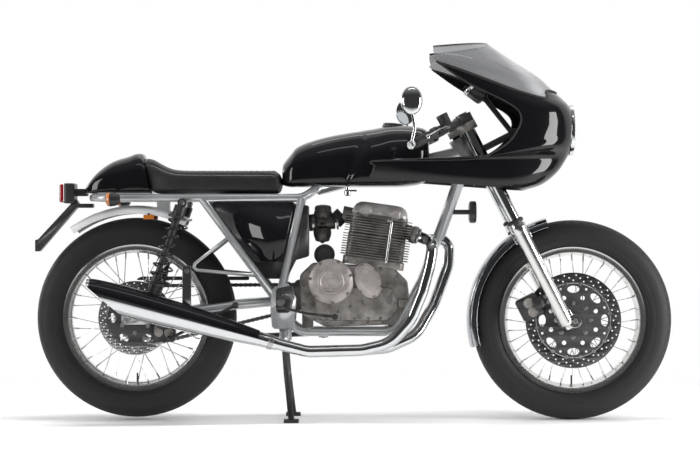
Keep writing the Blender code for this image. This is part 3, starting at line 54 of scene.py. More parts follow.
# Wheels, as in the CAD
FRONT_AXLE = Vector(JOINTS["front_wheel_spin"]["pos_m"])
REAR_AXLE = Vector(JOINTS["rear_wheel_spin"]["pos_m"])
WHEEL_RADIUS = 0.325
RIM_HALF = 0.04
SPOKES = 36
SPOKE_LEAD = radians(38)
SPOKE_RIM = 0.2125
FLANGE_SPREAD = 0.032
FRONT_DISC_Y = -0.0595
REAR_DISC_Y = -0.0655
SPROCKET_Y = 0.0693

# Steering
RAKE = radians(27)
FORK_OFFSET = 0.04
AXLE_LEAD = 0.025
FORK_SPREAD = 0.095
FORK_LENGTH = 0.76
BAR_START = Vector((FORK_OFFSET - 0.006, -FORK_SPREAD - 0.022, 0.7403))
BAR_TIP = BAR_START + Vector((-0.184, -0.223, -0.002))
BAR_WAY = (BAR_TIP - BAR_START).normalized()
FORWARD = Vector((cos(RAKE), 0, sin(RAKE)))
FORK_FOOT = FRONT_AXLE - FORWARD * (FORK_OFFSET + AXLE_LEAD)
STEERING = Matrix.Translation(FORK_FOOT) @ Matrix.Rotation(-RAKE, 4, "Y")


class Value:
    """A number socket of a finish. Its operators add Math nodes."""

    def __init__(self, finish, socket):
        self.finish = finish
        self.socket = socket

    def math(self, operation, *others):
        return self.finish.math(operation, self, *others)

    def __add__(self, other):
        return self.math("ADD", other)

    def __radd__(self, other):
        return self.finish.math("ADD", other, self)

    def __sub__(self, other):
        return self.math("SUBTRACT", other)

    def __rsub__(self, other):
        return self.finish.math("SUBTRACT", other, self)

    def __mul__(self, other):
        return self.math("MULTIPLY", other)

    def __rmul__(self, other):
        return self.finish.math("MULTIPLY", other, self)

    def __truediv__(self, other):
        return self.math("DIVIDE", other)

    def __pow__(self, other):
        return self.math("POWER", other)

    def __abs__(self):
        return self.math("ABSOLUTE")

    def above(self, level, soft):
        """0 below level and 1 above it, over a soft edge."""
        return ((self - level) / soft + 0.5).clamped()

    def below(self, level, soft):
        return ((level - self) / soft + 0.5).clamped()

    def clamped(self):
        return Value(self.finish, self.finish.node("ShaderNodeClamp", {}, [self]).outputs[0])


class Finish:
    """A Principled material and the nodes that vary it over a surface."""

    def __init__(self, name, colour, roughness, metallic=0, **fixed):
        self.material = bpy.data.materials.new(name)
        self.material.use_nodes = True
        self.tree = self.material.node_tree
        self.shader = self.tree.nodes["Principled BSDF"]
        self.set("Base Color", colour)
        self.set("Roughness", roughness)
        self.set("Metallic", metallic)
        for socket, value in fixed.items():
            self.set(socket.replace("_", " ").title().replace("Ior", "IOR"), value)
        self.where = None

    def set(self, socket, value):
        """Gives one of the shader's own sockets a value or a link."""
        if isinstance(value, tuple) and len(value) == 3:
            value = (*value, 1)
        self.feed(self.shader.inputs[socket], value)

    def feed(self, socket, value):
        if isinstance(value, Value):
            value = value.socket
        if isinstance(value, bpy.types.NodeSocket):
            self.tree.links.new(value, socket)
        else:
            socket.default_value = value

    def node(self, kind, settings, inputs):
        """Adds a node: its settings first, then the values or links of its sockets, by place or by name."""
        made = self.tree.nodes.new(kind)
        for key, value in settings.items():
            if key == "stops":
                self.set_stops(made.color_ramp.elements, value)
            else:
                setattr(made, key, value)
        for key, value in inputs.items() if isinstance(inputs, dict) else enumerate(inputs):
            self.feed(made.inputs[key], value)
        return made

    def set_stops(self, elements, stops):
        while len(elements) < len(stops):
            elements.new(0.5)
        for element, (place, colour) in zip(elements, stops):
            element.position = place
            element.color = (*colour, 1)

    def math(self, operation, *operands):
        return Value(self, self.node("ShaderNodeMath", {"operation": operation}, operands).outputs[0])

    def coordinates(self, centre=(0, 0, 0), turn=(0, 0, 0), scale=(1, 1, 1)):
        """Object coordinates about a centre, turned and scaled."""
        if self.where is None:
            self.where = self.tree.nodes.new("ShaderNodeTexCoord").outputs["Object"]
        inputs = {"Vector": self.where, "Location": tuple(-c for c in centre)}
        moved = self.node("ShaderNodeMapping", {"vector_type": "POINT"}, inputs).outputs[0]
        inputs = {"Vector": moved, "Rotation": turn, "Scale": scale}
        return self.node("ShaderNodeMapping", {"vector_type": "POINT"}, inputs).outputs[0]

    def axes(self, centre=(0, 0, 0), turn=(0, 0, 0)):
        """The three coordinates about a centre."""
        split = self.node("ShaderNodeSeparateXYZ", {}, [self.coordinates(centre, turn)])
        return [Value(self, out) for out in split.outputs]

    def noise(self, scale, detail=3, rough=0.5, stretch=(1, 1, 1)):
        """Noise from 0 to 1. Scale is in cells a metre."""
        inputs = {
            "Vector": self.coordinates(scale=stretch), "Scale": scale, "Detail": detail, "Roughness": rough
        }
        return Value(self, self.node("ShaderNodeTexNoise", {}, inputs).outputs[0])

    def cells(self, scale, feature="F1"):
        inputs = {"Vector": self.coordinates(), "Scale": scale}
        return Value(
            self, self.node("ShaderNodeTexVoronoi", {"feature": feature}, inputs).outputs["Distance"]
        )

    def mixed(self, factor, first, second):
        """A colour between two colours."""
        colours = [(*c, 1) if isinstance(c, tuple) and len(c) == 3 else c for c in (first, second)]
        made = self.node("ShaderNodeMix", {"data_type": "RGBA"}, {0: factor, 6: colours[0], 7: colours[1]})
        return made.outputs[2]

    def relief(self, height, distance, strength=1):
        """Raises the surface by a height map, in metres at height 1."""
        inputs = {"Height": height, "Distance": distance, "Strength": strength}
        self.set("Normal", self.node("ShaderNodeBump", {}, inputs).outputs[0])


def black_paint():
    """Gloss black lacquer with a faint orange peel and a trace of dust in its gloss."""
    paint = Finish(
        "black_lacquer", (0.005, 0.005, 0.006), 0.22, coat_weight=0.7, coat_roughness=0.03,
        specular_ior_level=0.02
    )
    dust = paint.noise(9, 5)
    paint.set("Base Color", paint.mixed(dust, (0.003, 0.003, 0.004), (0.007, 0.007, 0.008)))
    paint.set("Roughness", 0.16 + dust * 0.16)
    paint.relief(paint.noise(260, 2), 0.00006)
    return paint


def chrome(name, colour, low, high):
    """Plated steel, smoother and duller in patches, with fine wipe marks."""
    plate = Finish(name, colour, low, 1)
    smear = plate.noise(14, 4)
    wipe = plate.noise(70, 2, 0.5, (1, 1, 9))
    plate.set("Roughness", low + (smear * 0.7 + wipe * 0.3) * (high - low))
    tint = tuple(c * 0.9 for c in colour)
    plate.set("Base Color", plate.mixed(smear, tint, colour))
    return plate


def silver_paint(name, dark, light, metallic):
    """Silver paint: fine flake under a clear coat."""
    paint = Finish(name, light, 0.3, metallic, coat_weight=0.7, coat_roughness=0.08)
    flake = paint.cells(1500)
    cloud = paint.noise(12, 4)
    paint.set("Base Color", paint.mixed(flake * 0.6 + cloud * 0.4, dark, light))
    paint.set("Roughness", 0.26 + cloud * 0.14)
    paint.relief(paint.noise(240, 2), 0.00008)
    return paint


def satin_black(name="satin_black_coat", base=0.016, rough=0.36):
    """Powder coat with a fine pebbled skin, rubbed a little greyer in patches."""
    coat = Finish(name, (base,) * 3, rough)
    rub = coat.noise(18, 5)
    coat.set("Base Color", coat.mixed(rub, (base * 0.7,) * 3, (base * 1.7,) * 3))
    coat.set("Roughness", rough - 0.06 + rub * 0.16)
    coat.relief(coat.noise(900, 2), 0.0001)
    return coat


def casting(name, dark, light, rough, metallic, grain=0.00022):
    """Sand-cast alloy: a grainy skin, with darker blotches of noise that are part stains and part painted shade
    standing in for dark recesses; they follow no shape.
    """
    metal = Finish(name, light, rough, metallic)
    stain_and_painted_shade = metal.noise(16, 6, 0.62)
    speck = metal.noise(420, 3)
    # Dark blotches: stains, and painted shade for the recesses.
    metal.set("Base Color", metal.mixed(stain_and_painted_shade.above(0.52, 0.35), dark, light))
    metal.set("Roughness", rough - 0.08 + stain_and_painted_shade * 0.14 + speck * 0.08)
    metal.relief(speck * 0.7 + metal.cells(650) * 0.3, grain)
    return metal


def turned_steel(name, centre, colour, rough, metallic=1):
    """Steel faced on a lathe, with fine rings about an axle."""
    steel = Finish(name, colour, rough, metallic)
    x, _, z = steel.axes(centre)
    radius = (x * x + z * z).math("SQRT")
    rings = (radius * 5200).math("SINE") * 0.5 + (radius * 2130).math("SINE") * 0.5
    haze = steel.noise(25, 4)
    steel.set("Roughness", rough + haze * 0.12 + rings * 0.03)
    steel.set(
        "Base Color", steel.mixed(haze, tuple(c * 0.8 for c in colour), tuple(c * 1.15 for c in colour))
    )
    steel.relief(rings * 0.5 + 0.5, 0.00004)
    return steel


def tyre_rubber(name, centre, half):
    """Black rubber: a grooved tread, and a sidewall with fine rings and a dusty shoulder."""
    rubber = Finish(name, (0.02, 0.02, 0.02), 0.7)
    x, y, z = rubber.axes(centre)
    radius = (x * x + z * z).math("SQRT")
    along = z.math("ARCTAN2", x) * (WHEEL_RADIUS / 0.029)
    across = abs(y)
    tread = across.below(half * 0.8, half * 0.02) * radius.above(0.298, 0.002)
    slant = (along + across / 0.022).math("FRACT")
    sipes = slant.below(0.2, 0.05) * across.above(half * 0.3, 0.001) * across.below(half * 0.76, 0.001)
    ring = abs(across - half * 0.24).below(0.0016, 0.0006)
    centre_line = across.below(0.0014, 0.0006)
    grooves = sipes.math("MAXIMUM", ring).math("MAXIMUM", centre_line) * tread
    wall = (radius * 1900).math("SINE") * 0.05 * (1 - tread)
    band = (
        abs(radius - 0.26).below(0.007, 0.0008) + abs(radius - 0.248).below(0.0012, 0.0006)
    ) * (1 - tread)
    dust = rubber.noise(30, 5)
    worn = rubber.mixed(dust * (0.35 + tread * 0.65), (0.004, 0.004, 0.005), (0.015, 0.0145, 0.014))
    # The grooves get the blackest colour: painted shade in them.
    rubber.set("Base Color", rubber.mixed(grooves, worn, (0.004, 0.004, 0.004)))
    rubber.set("Roughness", 0.52 + dust * 0.22 + grooves * 0.2)
    fine = rubber.noise(700, 2) * 0.04
    rubber.relief((1 - grooves) * 0.8 + wall * 0.4 + band * 0.12 + fine, 0.004)
    return rubber


def seat_leather():
    """Black grained leather."""
    hide = Finish("seat_hide", (0.016, 0.016, 0.017), 0.45)
    pore = hide.cells(520, "DISTANCE_TO_EDGE")
    crease = hide.noise(60, 5)
    hide.set("Base Color", hide.mixed(crease, (0.005, 0.005, 0.006), (0.016, 0.015, 0.015)))
    hide.set("Roughness", 0.36 + crease * 0.22)
    hide.relief(pore.math("MINIMUM", 0.25) * 2.6 + crease * 0.6, 0.0003)
    return hide


def lens(name, colour, alpha, rough=0.08, ribs=0):
    """A clear or tinted lamp glass, ribbed on its inside."""
    glass = Finish(name, colour, rough, alpha=alpha, coat_weight=1, coat_roughness=0.02)
    ripple = glass.noise(55, 2)
    if ribs:
        _, y, _ = glass.axes()
        ripple = (y * (tau / ribs)).math("SINE") * 0.5 + 0.5
        glass.relief(ripple, 0.0006)
    glass.set("Roughness", rough + ripple * 0.05)
    return glass


def smoked_screen():
    """Smoke-grey screen: clear enough to see through, with a painted highlight as a lighter band across it, and
    painted shade along its top, where it is less clear.
    """
    screen = Finish(
        "smoked_screen", (0.1, 0.1, 0.105), 0.05, alpha=0.5, coat_weight=0.6, coat_roughness=0.02
    )
    x, _, z = screen.axes()
    cloud = screen.noise(7, 3)
    # A lighter diagonal band in the base colour: a painted highlight.
    painted_highlight_band = abs((z - 1.175) * 0.6 + (x - 0.515) * 0.8).below(0.022, 0.03)
    screen.set("Base Color", screen.mixed(painted_highlight_band, (0.16, 0.162, 0.168), (0.34, 0.343, 0.35)))
    # Less clear towards the top: painted shade along the top edge.
    screen.set("Alpha", 0.52 + ((z - 1.17) / 0.05).clamped() * 0.1 + cloud * 0.04)
    screen.set("Roughness", 0.05 + cloud * 0.04)
    return screen


BLACK = black_paint()
CHROME = chrome("bright_chrome", (0.68, 0.69, 0.7), 0.05, 0.13)
# A darker copy of the chrome, for the front mudguard: its dark reflection painted into its colour.
DARKENED_GUARD_CHROME = chrome("mudguard_chrome_painted_dark", (0.4, 0.41, 0.43), 0.08, 0.18)
POLISHED = chrome("polished_alloy", (0.7, 0.7, 0.69), 0.14, 0.26)
SPOKE_STEEL = chrome("spoke_steel", (0.66, 0.66, 0.66), 0.18, 0.3)
BOLT_STEEL = chrome("zinc_steel", (0.5, 0.5, 0.49), 0.26, 0.4)
SILVER = silver_paint("silver_frame_paint", (0.36, 0.37, 0.38), (0.58, 0.59, 0.6), 0.75)
SATIN = satin_black()
RUBBER = satin_black("soft_rubber", 0.012, 0.62)
CARRIER_BLACK = satin_black("carrier_coat", 0.03, 0.34)
COVER_ALLOY = casting("cover_casting", (0.27, 0.245, 0.235), (0.53, 0.49, 0.47), 0.4, 0.6)
# Lighter than the other castings: painted light on the head's top.
LIT_ROCKER_ALLOY = casting("rocker_casting_painted_light", (0.34, 0.32, 0.31), (0.68, 0.65, 0.63), 0.36, 0.6)
# The darkest casting: its deep dark blotches are painted shade as well as stains.
CASE_ALLOY = casting("case_casting", (0.13, 0.12, 0.11), (0.4, 0.38, 0.36), 0.46, 0.6)
FIN_ALLOY = casting("fin_casting", (0.1, 0.094, 0.088), (0.3, 0.285, 0.27), 0.46, 0.55)
CARB_ALLOY = casting("carburettor_casting", (0.05, 0.047, 0.045), (0.2, 0.19, 0.18), 0.4, 0.7)
HIDE = seat_leather()
SMOKE = smoked_screen()
LAMP_GLASS = lens("headlight_glass", (0.8, 0.82, 0.85), 0.35, 0.03, 0.009)
AMBER = lens("amber_lens", (0.46, 0.13, 0.012), 1, 0.12, 0.004)
RED = lens("red_lens", (0.2, 0.004, 0.006), 1, 0.12, 0.004)
CLEAR_GLASS = lens("gauge_glass", (0.9, 0.9, 0.9), 0.12, 0.02)
MIRROR_GLASS = chrome("mirror_silvering", (0.75, 0.77, 0.78), 0.01, 0.03)
MUDGUARD_SILVER = silver_paint("mudguard_silver", (0.62, 0.63, 0.64), (0.86, 0.86, 0.87), 0.25)
SPRING_BLACK = satin_black("spring_coat", 0.012, 0.22)
CHAIN_STEEL = chrome("oiled_chain", (0.2, 0.19, 0.18), 0.3, 0.46)
DIAL_BLACK = satin_black("dial_face", 0.01, 0.55)
DIAL_WHITE = satin_black("dial_marks", 0.6, 0.5)
THREAD = satin_black("seat_thread", 0.3, 0.7)
FRONT_RUBBER = tyre_rubber("front_tyre_rubber", FRONT_AXLE, 0.05)
REAR_RUBBER = tyre_rubber("rear_tyre_rubber", REAR_AXLE, 0.056)
FRONT_ROTOR = turned_steel("front_rotor_steel", FRONT_AXLE, (0.12, 0.12, 0.125), 0.3)
REAR_ROTOR = turned_steel("rear_rotor_steel", REAR_AXLE, (0.42, 0.42, 0.42), 0.24)
SPROCKET_STEEL = turned_steel("sprocket_steel", REAR_AXLE, (0.32, 0.32, 0.32), 0.34)

# Each material slot's finishes. CAD nodes take the first.
FINISHES = {
    "tyre": [FRONT_RUBBER, REAR_RUBBER], "rim_alloy": [POLISHED, SPOKE_STEEL],
    "steel": [BOLT_STEEL, CHAIN_STEEL, CARRIER_BLACK, FRONT_ROTOR, REAR_ROTOR, SPROCKET_STEEL],
    "chrome": [CHROME, DARKENED_GUARD_CHROME, MIRROR_GLASS], "frame_silver": [SILVER, MUDGUARD_SILVER],
    "gloss_black": [BLACK], "satin_black": [SATIN, RUBBER, SPRING_BLACK, DIAL_BLACK],
    "cast_alloy": [CASE_ALLOY, COVER_ALLOY, LIT_ROCKER_ALLOY, CARB_ALLOY], "fin_alloy": [FIN_ALLOY],
    "seat_leather": [HIDE, THREAD], "screen_grey": [SMOKE],
    "lamp_glass": [LAMP_GLASS, CLEAR_GLASS, DIAL_WHITE], "amber": [AMBER], "red_lens": [RED]
}
SIDES = ((-1, "right"), (1, "left"))


def carry_over():
    """Gives every CAD node the finish of its material slot."""
    for entry in frame["record"]["subparts"]:
        materials = NODES[entry["node"]].data.materials
        materials.clear()
        materials.append(FINISHES[entry["material_slot"]][0].material)


# Shapes. Each returns a bmesh in the row frame or in the frame of its matrix.


def moved(bm, matrix):
    bmesh.ops.transform(bm, matrix=matrix, verts=bm.verts)
    if matrix.determinant() < 0:
        bmesh.ops.reverse_faces(bm, faces=bm.faces)
    return bm


def shift(x, y, z):
    return Matrix.Translation((x, y, z))


def mirrored(bm):
    """A copy on the other side of the machine."""
    return moved(bm.copy(), Matrix.Scale(-1, 4, Vector((0, 1, 0))))


def both(bm):
    return [bm, mirrored(bm)]


def on_side(shapes, side):
    """Copies of shapes made for the right, on the right (-1) or mirrored to the left (1)."""
    return [mirrored(shape) if side > 0 else shape.copy() for shape in shapes]


def aimed(start, end):
    """The matrix whose Z runs from start towards end."""
    along = Vector(end) - Vector(start)
    return Matrix.Translation(start) @ along.to_track_quat("Z", "Y").to_matrix().to_4x4()


def closed_up(bm, fill=False):
    """Merges doubled corners, closes open ends where asked, and turns the faces outwards."""
    bmesh.ops.remove_doubles(bm, verts=bm.verts, dist=1e-6)
    if fill:
        bmesh.ops.holes_fill(bm, edges=[e for e in bm.edges if e.is_boundary])
    bmesh.ops.recalc_face_normals(bm, faces=bm.faces)
    return bm


def walled(bm, thickness):
    """Gives an open surface a wall."""
    bmesh.ops.solidify(bm, geom=bm.faces, thickness=thickness)
    bmesh.ops.recalc_face_normals(bm, faces=bm.faces)


def cut(bm, place, normal):
    """Cuts a shape along a plane and drops what lies past it."""
    everything = bm.verts[:] + bm.edges[:] + bm.faces[:]
    bmesh.ops.bisect_plane(bm, geom=everything, plane_co=place, plane_no=normal, clear_outer=True)
    return bm


def turned(profile, steps=48, closed=False, matrix=None):
    """A shape turned about Z from (radius, height) points. A closed profile makes a ring."""
    bm = bmesh.new()
    points = [bm.verts.new((radius, 0, height)) for radius, height in profile]
    edges = [bm.edges.new(pair) for pair in zip(points, points[1:])]
    if closed:
        edges.append(bm.edges.new((points[-1], points[0])))
    bmesh.ops.spin(
        bm, geom=points + edges, cent=(0, 0, 0), axis=(0, 0, 1), angle=tau, steps=steps, use_merge=True
    )
    closed_up(bm, fill=not closed)
    return moved(bm, matrix) if matrix is not None else bm


def about_y(centre):
    """The matrix that lays a turned shape's axis along Y at a centre."""
    return Matrix.Translation(centre) @ Matrix.Rotation(-pi / 2, 4, "X")


def rod(start, end, radius, sides=20, round_edge=0, end_radius=None):
    """A round bar between two points, its ends chamfered."""
    start, end = Vector(start), Vector(end)
    length = (end - start).length
    last = radius if end_radius is None else end_radius
    edge = min(round_edge, radius * 0.6, length * 0.4)
    profile = [
        (radius - edge, 0), (radius, edge), (last, length - edge), (last - edge, length)
    ] if edge else [(radius, 0), (last, length)]
    return turned(profile, sides, matrix=aimed(start, end))


def block(low, high, edge=0.002, segments=2, matrix=None):
    """A box between two corners with rounded edges."""
    low, high = Vector(low), Vector(high)
    bm = bmesh.new()
    bmesh.ops.create_cube(bm, size=1)
    bmesh.ops.scale(bm, vec=high - low, verts=bm.verts)
    bmesh.ops.translate(bm, vec=(low + high) / 2, verts=bm.verts)
    if edge:
        bmesh.ops.bevel(
            bm, geom=bm.edges, offset=edge, segments=segments, affect="EDGES", profile=0.5,
            offset_type="OFFSET", material=-1
        )
    return moved(bm, matrix) if matrix is not None else bm


def ball(centre, radii, segments=32, rings=20):
    bm = bmesh.new()
    place = Matrix.Translation(centre) @ Matrix.Diagonal((*radii, 1))
    bmesh.ops.create_uvsphere(bm, u_segments=segments, v_segments=rings, radius=1, matrix=place)
    return bm


def bolt(place, along, radius=0.005, height=0.004, sides=6):
    """A bolt head on its washer, standing on a face."""
    place, along = Vector(place), Vector(along).normalized()
    washer = rod(place - along * 0.001, place + along * 0.0012, radius * 1.45, 16, 0.0004)
    head = rod(place + along * 0.0006, place + along * (0.0012 + height), radius, sides, 0.0008)
    return joined([washer, head])


def joined(parts):
    """One bmesh of several."""
    whole = parts[0]
    for part in parts[1:]:
        mesh = bpy.data.meshes.new("part")
        part.to_mesh(mesh)
        part.free()
        whole.from_mesh(mesh)
        bpy.data.meshes.remove(mesh)
    return whole


def arc_ends(before, corner, after, bend):
    """Where the arc that rounds a corner starts and ends, with its centre, axis and angle."""
    back = (before - corner).normalized()
    on = (after - corner).normalized()
    half = back.angle(on) / 2
    shortest = min((before - corner).length, (after - corner).length)
    reach = min(bend / tan(half), 0.48 * shortest)
    radius = reach * tan(half)
    centre = corner + (back + on).normalized() * radius / sin(half)
    return corner + back * reach, centre, (-back).cross(on).normalized(), pi - 2 * half


def pipe(corners, bend, radius, sides=20, steps=8, end_radius=None):
    """A bent tube: a ring drawn straight between corners and spun round each bend."""
    corners = [Vector(c) for c in corners]
    bm = bmesh.new()
    made = bmesh.ops.create_circle(bm, segments=sides, radius=radius, matrix=aimed(corners[0], corners[1]))
    ring = made["verts"]
    edges = list({e for v in ring for e in v.link_edges})
    at = corners[0]
    for i in range(1, len(corners)):
        if i < len(corners) - 1:
            target, centre, axis, angle = arc_ends(corners[i - 1], corners[i], corners[i + 1], bend)
        else:
            target = corners[i]
        made = bmesh.ops.extrude_edge_only(bm, edges=edges)
        ring = [g for g in made["geom"] if isinstance(g, bmesh.types.BMVert)]
        edges = [g for g in made["geom"] if isinstance(g, bmesh.types.BMEdge)]
        bmesh.ops.translate(bm, vec=target - at, verts=ring)
        at = target
        if i < len(corners) - 1:
            made = bmesh.ops.spin(
                bm, geom=edges, cent=centre, axis=axis, angle=angle, steps=steps, use_merge=False
            )
            edges = [g for g in made["geom_last"] if isinstance(g, bmesh.types.BMEdge)]
            ring = [g for g in made["geom_last"] if isinstance(g, bmesh.types.BMVert)]
            at = sum((v.co for v in ring), Vector()) / len(ring)
    if end_radius is not None:
        bmesh.ops.scale(
            bm, vec=Vector((1, 1, 1)) * end_radius / radius, space=Matrix.Translation(-at), verts=ring
        )
    return closed_up(bm, fill=True)


def circle(x, y, radius, sides=24, stretch=1, turn=0):
    """A round or oval outline. Stretch widens it along turn."""
    outline = []
    for i in range(sides):
        angle = tau * i / sides
        u, v = radius * stretch * cos(angle), radius * sin(angle)
        outline.append((x + u * cos(turn) - v * sin(turn), y + u * sin(turn) + v * cos(turn)))
    return outline


def ring_of(count, radius, start=0):
    """Angles and places of things set evenly round a circle."""
    for i in range(count):
        angle = start + tau * i / count
        yield angle, radius * cos(angle), radius * sin(angle)


def rounded(corners, radius, steps=6):
    """A closed outline with its corners rounded."""
    points = [Vector((x, y, 0)) for x, y in corners]
    outline = []
    for i, corner in enumerate(points):
        start, centre, axis, angle = arc_ends(points[i - 1], corner, points[(i + 1) % len(points)], radius)
        for k in range(steps + 1):
            p = Matrix.Rotation(angle * k / steps, 3, axis) @ (start - centre) + centre
            outline.append((p.x, p.y))
    return outline


def plate(outlines, thickness, edge=0, matrix=None):
    """A flat plate centred on its own XY plane: the first outline is its edge, the rest are holes."""
    curve = bpy.data.curves.new("plate", "CURVE")
    curve.dimensions = "2D"
    curve.fill_mode = "BOTH"
    curve.extrude = thickness / 2 - edge
    curve.bevel_depth = edge
    curve.bevel_resolution = 1
    curve.offset = -edge
    for outline in outlines:
        spline = curve.splines.new("POLY")
        spline.points.add(len(outline) - 1)
        spline.use_cyclic_u = True
        for point, (x, y) in zip(spline.points, outline):
            point.co = (x, y, 0, 1)
    shape = bpy.data.objects.new("plate", curve)
    bpy.context.scene.collection.objects.link(shape)
    bpy.context.view_layer.update()
    mesh = bpy.data.meshes.new_from_object(shape.evaluated_get(bpy.context.evaluated_depsgraph_get()))
    bm = bmesh.new()
    bm.from_mesh(mesh)
    bpy.data.objects.remove(shape)
    bpy.data.meshes.remove(mesh)
    closed_up(bm)
    return moved(bm, matrix) if matrix is not None else bm


# A plate's X and Y lie along the machine's X and Z, its thickness along Y
UPRIGHT = Matrix.Rotation(pi / 2, 4, "X")


def upright(centre):
    """The matrix that stands a plate up along the machine at a centre."""
    return Matrix.Translation(centre) @ UPRIGHT


def bridged(rings):
    """A closed skin through rings of the same number of points, made as circles and bridged."""
    bm = bmesh.new()
    loops = []
    for ring in rings:
        corners = bmesh.ops.create_circle(bm, segments=len(ring), radius=1)["verts"]
        for corner, place in zip(corners, ring):
            corner.co = place
        loops.append({e for v in corners for e in v.link_edges})
    for first, second in zip(loops, loops[1:]):
        bmesh.ops.bridge_loops(bm, edges=list(first | second))
    return closed_up(bm, fill=True)


def skin(place, across, along, closed=False):
    """A surface drawn as a grid: each corner goes where place(u, v) says, with u and v from 0 to 1."""
    bm = bmesh.new()
    bmesh.ops.create_grid(bm, x_segments=across, y_segments=along, size=0.5)
    for corner in bm.verts:
        corner.co = place(corner.co.x + 0.5, corner.co.y + 0.5)
    return closed_up(bm, fill=closed)


def between(rows, place):
    """The row at a place from 0 to 1 along a list of rows, on a smooth curve through them."""
    spot = min(max(place, 0), 1) * (len(rows) - 1)
    i = min(int(spot), len(rows) - 2)
    t = spot - i
    near = [rows[max(i - 1, 0)], rows[i], rows[i + 1], rows[min(i + 2, len(rows) - 1)]]
    blend = (
        -0.5 * t + t**2 - 0.5 * t**3, 1 - 2.5 * t**2 + 1.5 * t**3, 0.5 * t + 2 * t**2 - 1.5 * t**3,
        -0.5 * t**2 + 0.5 * t**3
    )
    return tuple(sum(share * value for share, value in zip(blend, column)) for column in zip(*near))


def superellipse(angle, power):
    """The point at an angle on a unit superellipse."""
    c, s = cos(angle), sin(angle)
    return copysign(abs(c) ** (2 / power), c), copysign(abs(s) ** (2 / power), s)


def shell_point(row, share, crown, lower, upper):
    """A point round a body section: nearly square below its widest line and rounded above it."""
    x, low, high, half = row
    angle = tau * share
    middle = low + (high - low) * crown
    above = sin(angle) > 0
    across, up = superellipse(angle, upper if above else lower)
    return Vector((x, half * across, middle + up * ((high - middle) if above else (middle - low))))


def helix(start, end, coil, wire, turns, sides=10, steps=28):
    """A coil spring of round wire between two points."""
    along = Vector(end) - Vector(start)
    bm = bmesh.new()
    place = shift(coil, 0, 0) @ Matrix.Rotation(pi / 2, 4, "X")
    ring = bmesh.ops.create_circle(bm, segments=sides, radius=wire, matrix=place)["verts"]
    edges = list({e for v in ring for e in v.link_edges})
    bmesh.ops.spin(
        bm, geom=ring + edges, cent=(0, 0, 0), axis=(0, 0, 1), dvec=(0, 0, along.length / (turns * steps)),
        angle=tau * turns, steps=int(turns * steps), use_merge=False
    )
    return moved(closed_up(bm, fill=True), aimed(start, end))


def smooth_node(node, finish, sharp=50):
    """Takes over a CAD node's shape with its facets shaded round."""
    bm = bmesh.new()
    bm.from_mesh(NODES[node].data)
    bmesh.ops.remove_doubles(bm, verts=bm.verts, dist=1e-6)
    return piece(f"{node}_shape", bm, finish, BODY_OF[node], [node], sharp=sharp)


def piece(name, bm, finish, body="frame", replaces=(), sharp=35):
    """A finished piece that rides on a body."""
    if isinstance(bm, list):
        bm = joined(bm)
    mesh = bpy.data.meshes.new(name)
    bm.to_mesh(mesh)
    bm.free()
    mesh.materials.append(finish.material)
    mesh.shade_smooth()
    mesh.set_sharp_from_angle(angle=radians(sharp))
    obj = bpy.data.objects.new(name, mesh)
    bpy.context.scene.collection.objects.link(obj)
    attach(obj, body)
    if replaces:
        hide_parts(*replaces)
    return obj


def in_steering(bm):
    """Takes a shape from the fork's own frame into the row frame."""
    return moved(bm, STEERING)


# Wheels


def tyre_ring(centre, half):
    # (radius, share of the half width)
    wall = [
        (0.2395, 0.72), (0.243, 0.8), (0.249, 0.885), (0.2545, 0.925), (0.255, 0.945), (0.265, 0.975),
        (0.2655, 0.965), (0.275, 0.99), (0.287, 0.985), (0.296, 0.95), (0.302, 0.9), (0.307, 0.84),
        (0.313, 0.74), (0.318, 0.6), (0.322, 0.42), (0.3243, 0.22)
    ]
    side = [(0.231, half * 0.66)] + [(radius, half * share) for radius, share in wall]
    ring = side + [(WHEEL_RADIUS, 0)] + [(radius, -y) for radius, y in reversed(side)]
    return turned(ring, 120, closed=True, matrix=about_y(centre))


def rim_ring(centre):
    side = [
        (0.2105, 0.012), (0.212, 0.0165), (0.2175, 0.025), (0.2185, 0.0345), (0.2215, 0.038),
        (0.23, 0.0385), (0.235, 0.0392), (0.2378, RIM_HALF), (0.2387, 0.039), (0.2385, 0.0372),
        (0.236, 0.0364), (0.23, 0.0347)
    ]
    profile = [(radius, -y) for radius, y in reversed(side)] + side
    return turned(profile, 120, closed=True, matrix=about_y(centre))


def wire_spokes(centre, flange_radius):
    """Round spokes laced both ways, each with its nipple at the rim and its inner end at the flange."""
    wires, nipples = [], []
    for i in range(SPOKES):
        side = 1 if i % 2 else -1
        lead = 1 if (i // 2) % 2 else -1
        rim_angle = tau * i / SPOKES
        hub_angle = rim_angle + lead * SPOKE_LEAD
        hub_radius = flange_radius - 0.004
        start = Vector(
            (hub_radius * cos(hub_angle), side * FLANGE_SPREAD + lead * 0.004, hub_radius * sin(hub_angle))
        )
        end = Vector(
            (SPOKE_RIM * cos(rim_angle), side * 0.009 + lead * 0.003, SPOKE_RIM * sin(rim_angle))
        )
        start, end = start + centre, end + centre
        along = (end - start).normalized()
        wires.append(rod(start, end - along * 0.006, 0.0015, 8))
        nipples.append(rod(end - along * 0.02, end, 0.0024, 8, 0.0006, 0.003))
    return wires, nipples


def hub_shape(centre, flange_radius, right, left):
    """A hub: boss, flange, waist, flange, boss. Right and left are each a boss's end and radius."""
    (right_end, right_radius), (left_end, left_radius) = right, left
    flange, web = 0.0035, 0.024
    profile = [(0.0105, right_end), (right_radius, right_end)]
    for side, boss in ((-1, right_radius), (1, left_radius)):
        outer, inner = FLANGE_SPREAD + flange, FLANGE_SPREAD - flange
        rings = [
            (boss, outer + 0.004), (boss + 0.002, outer), (flange_radius - 0.0015, outer),
            (flange_radius, outer - 0.0015), (flange_radius, inner + 0.0015),
            (flange_radius - 0.0015, inner), (web + 0.01, inner), (web + 0.001, inner - 0.01)
        ]
        rings = [(radius, y * side) for radius, y in rings]
        profile += rings if side < 0 else rings[::-1]
    profile += [(left_radius, left_end), (0.0105, left_end)]
    return turned(profile, 64, closed=True, matrix=about_y(centre))


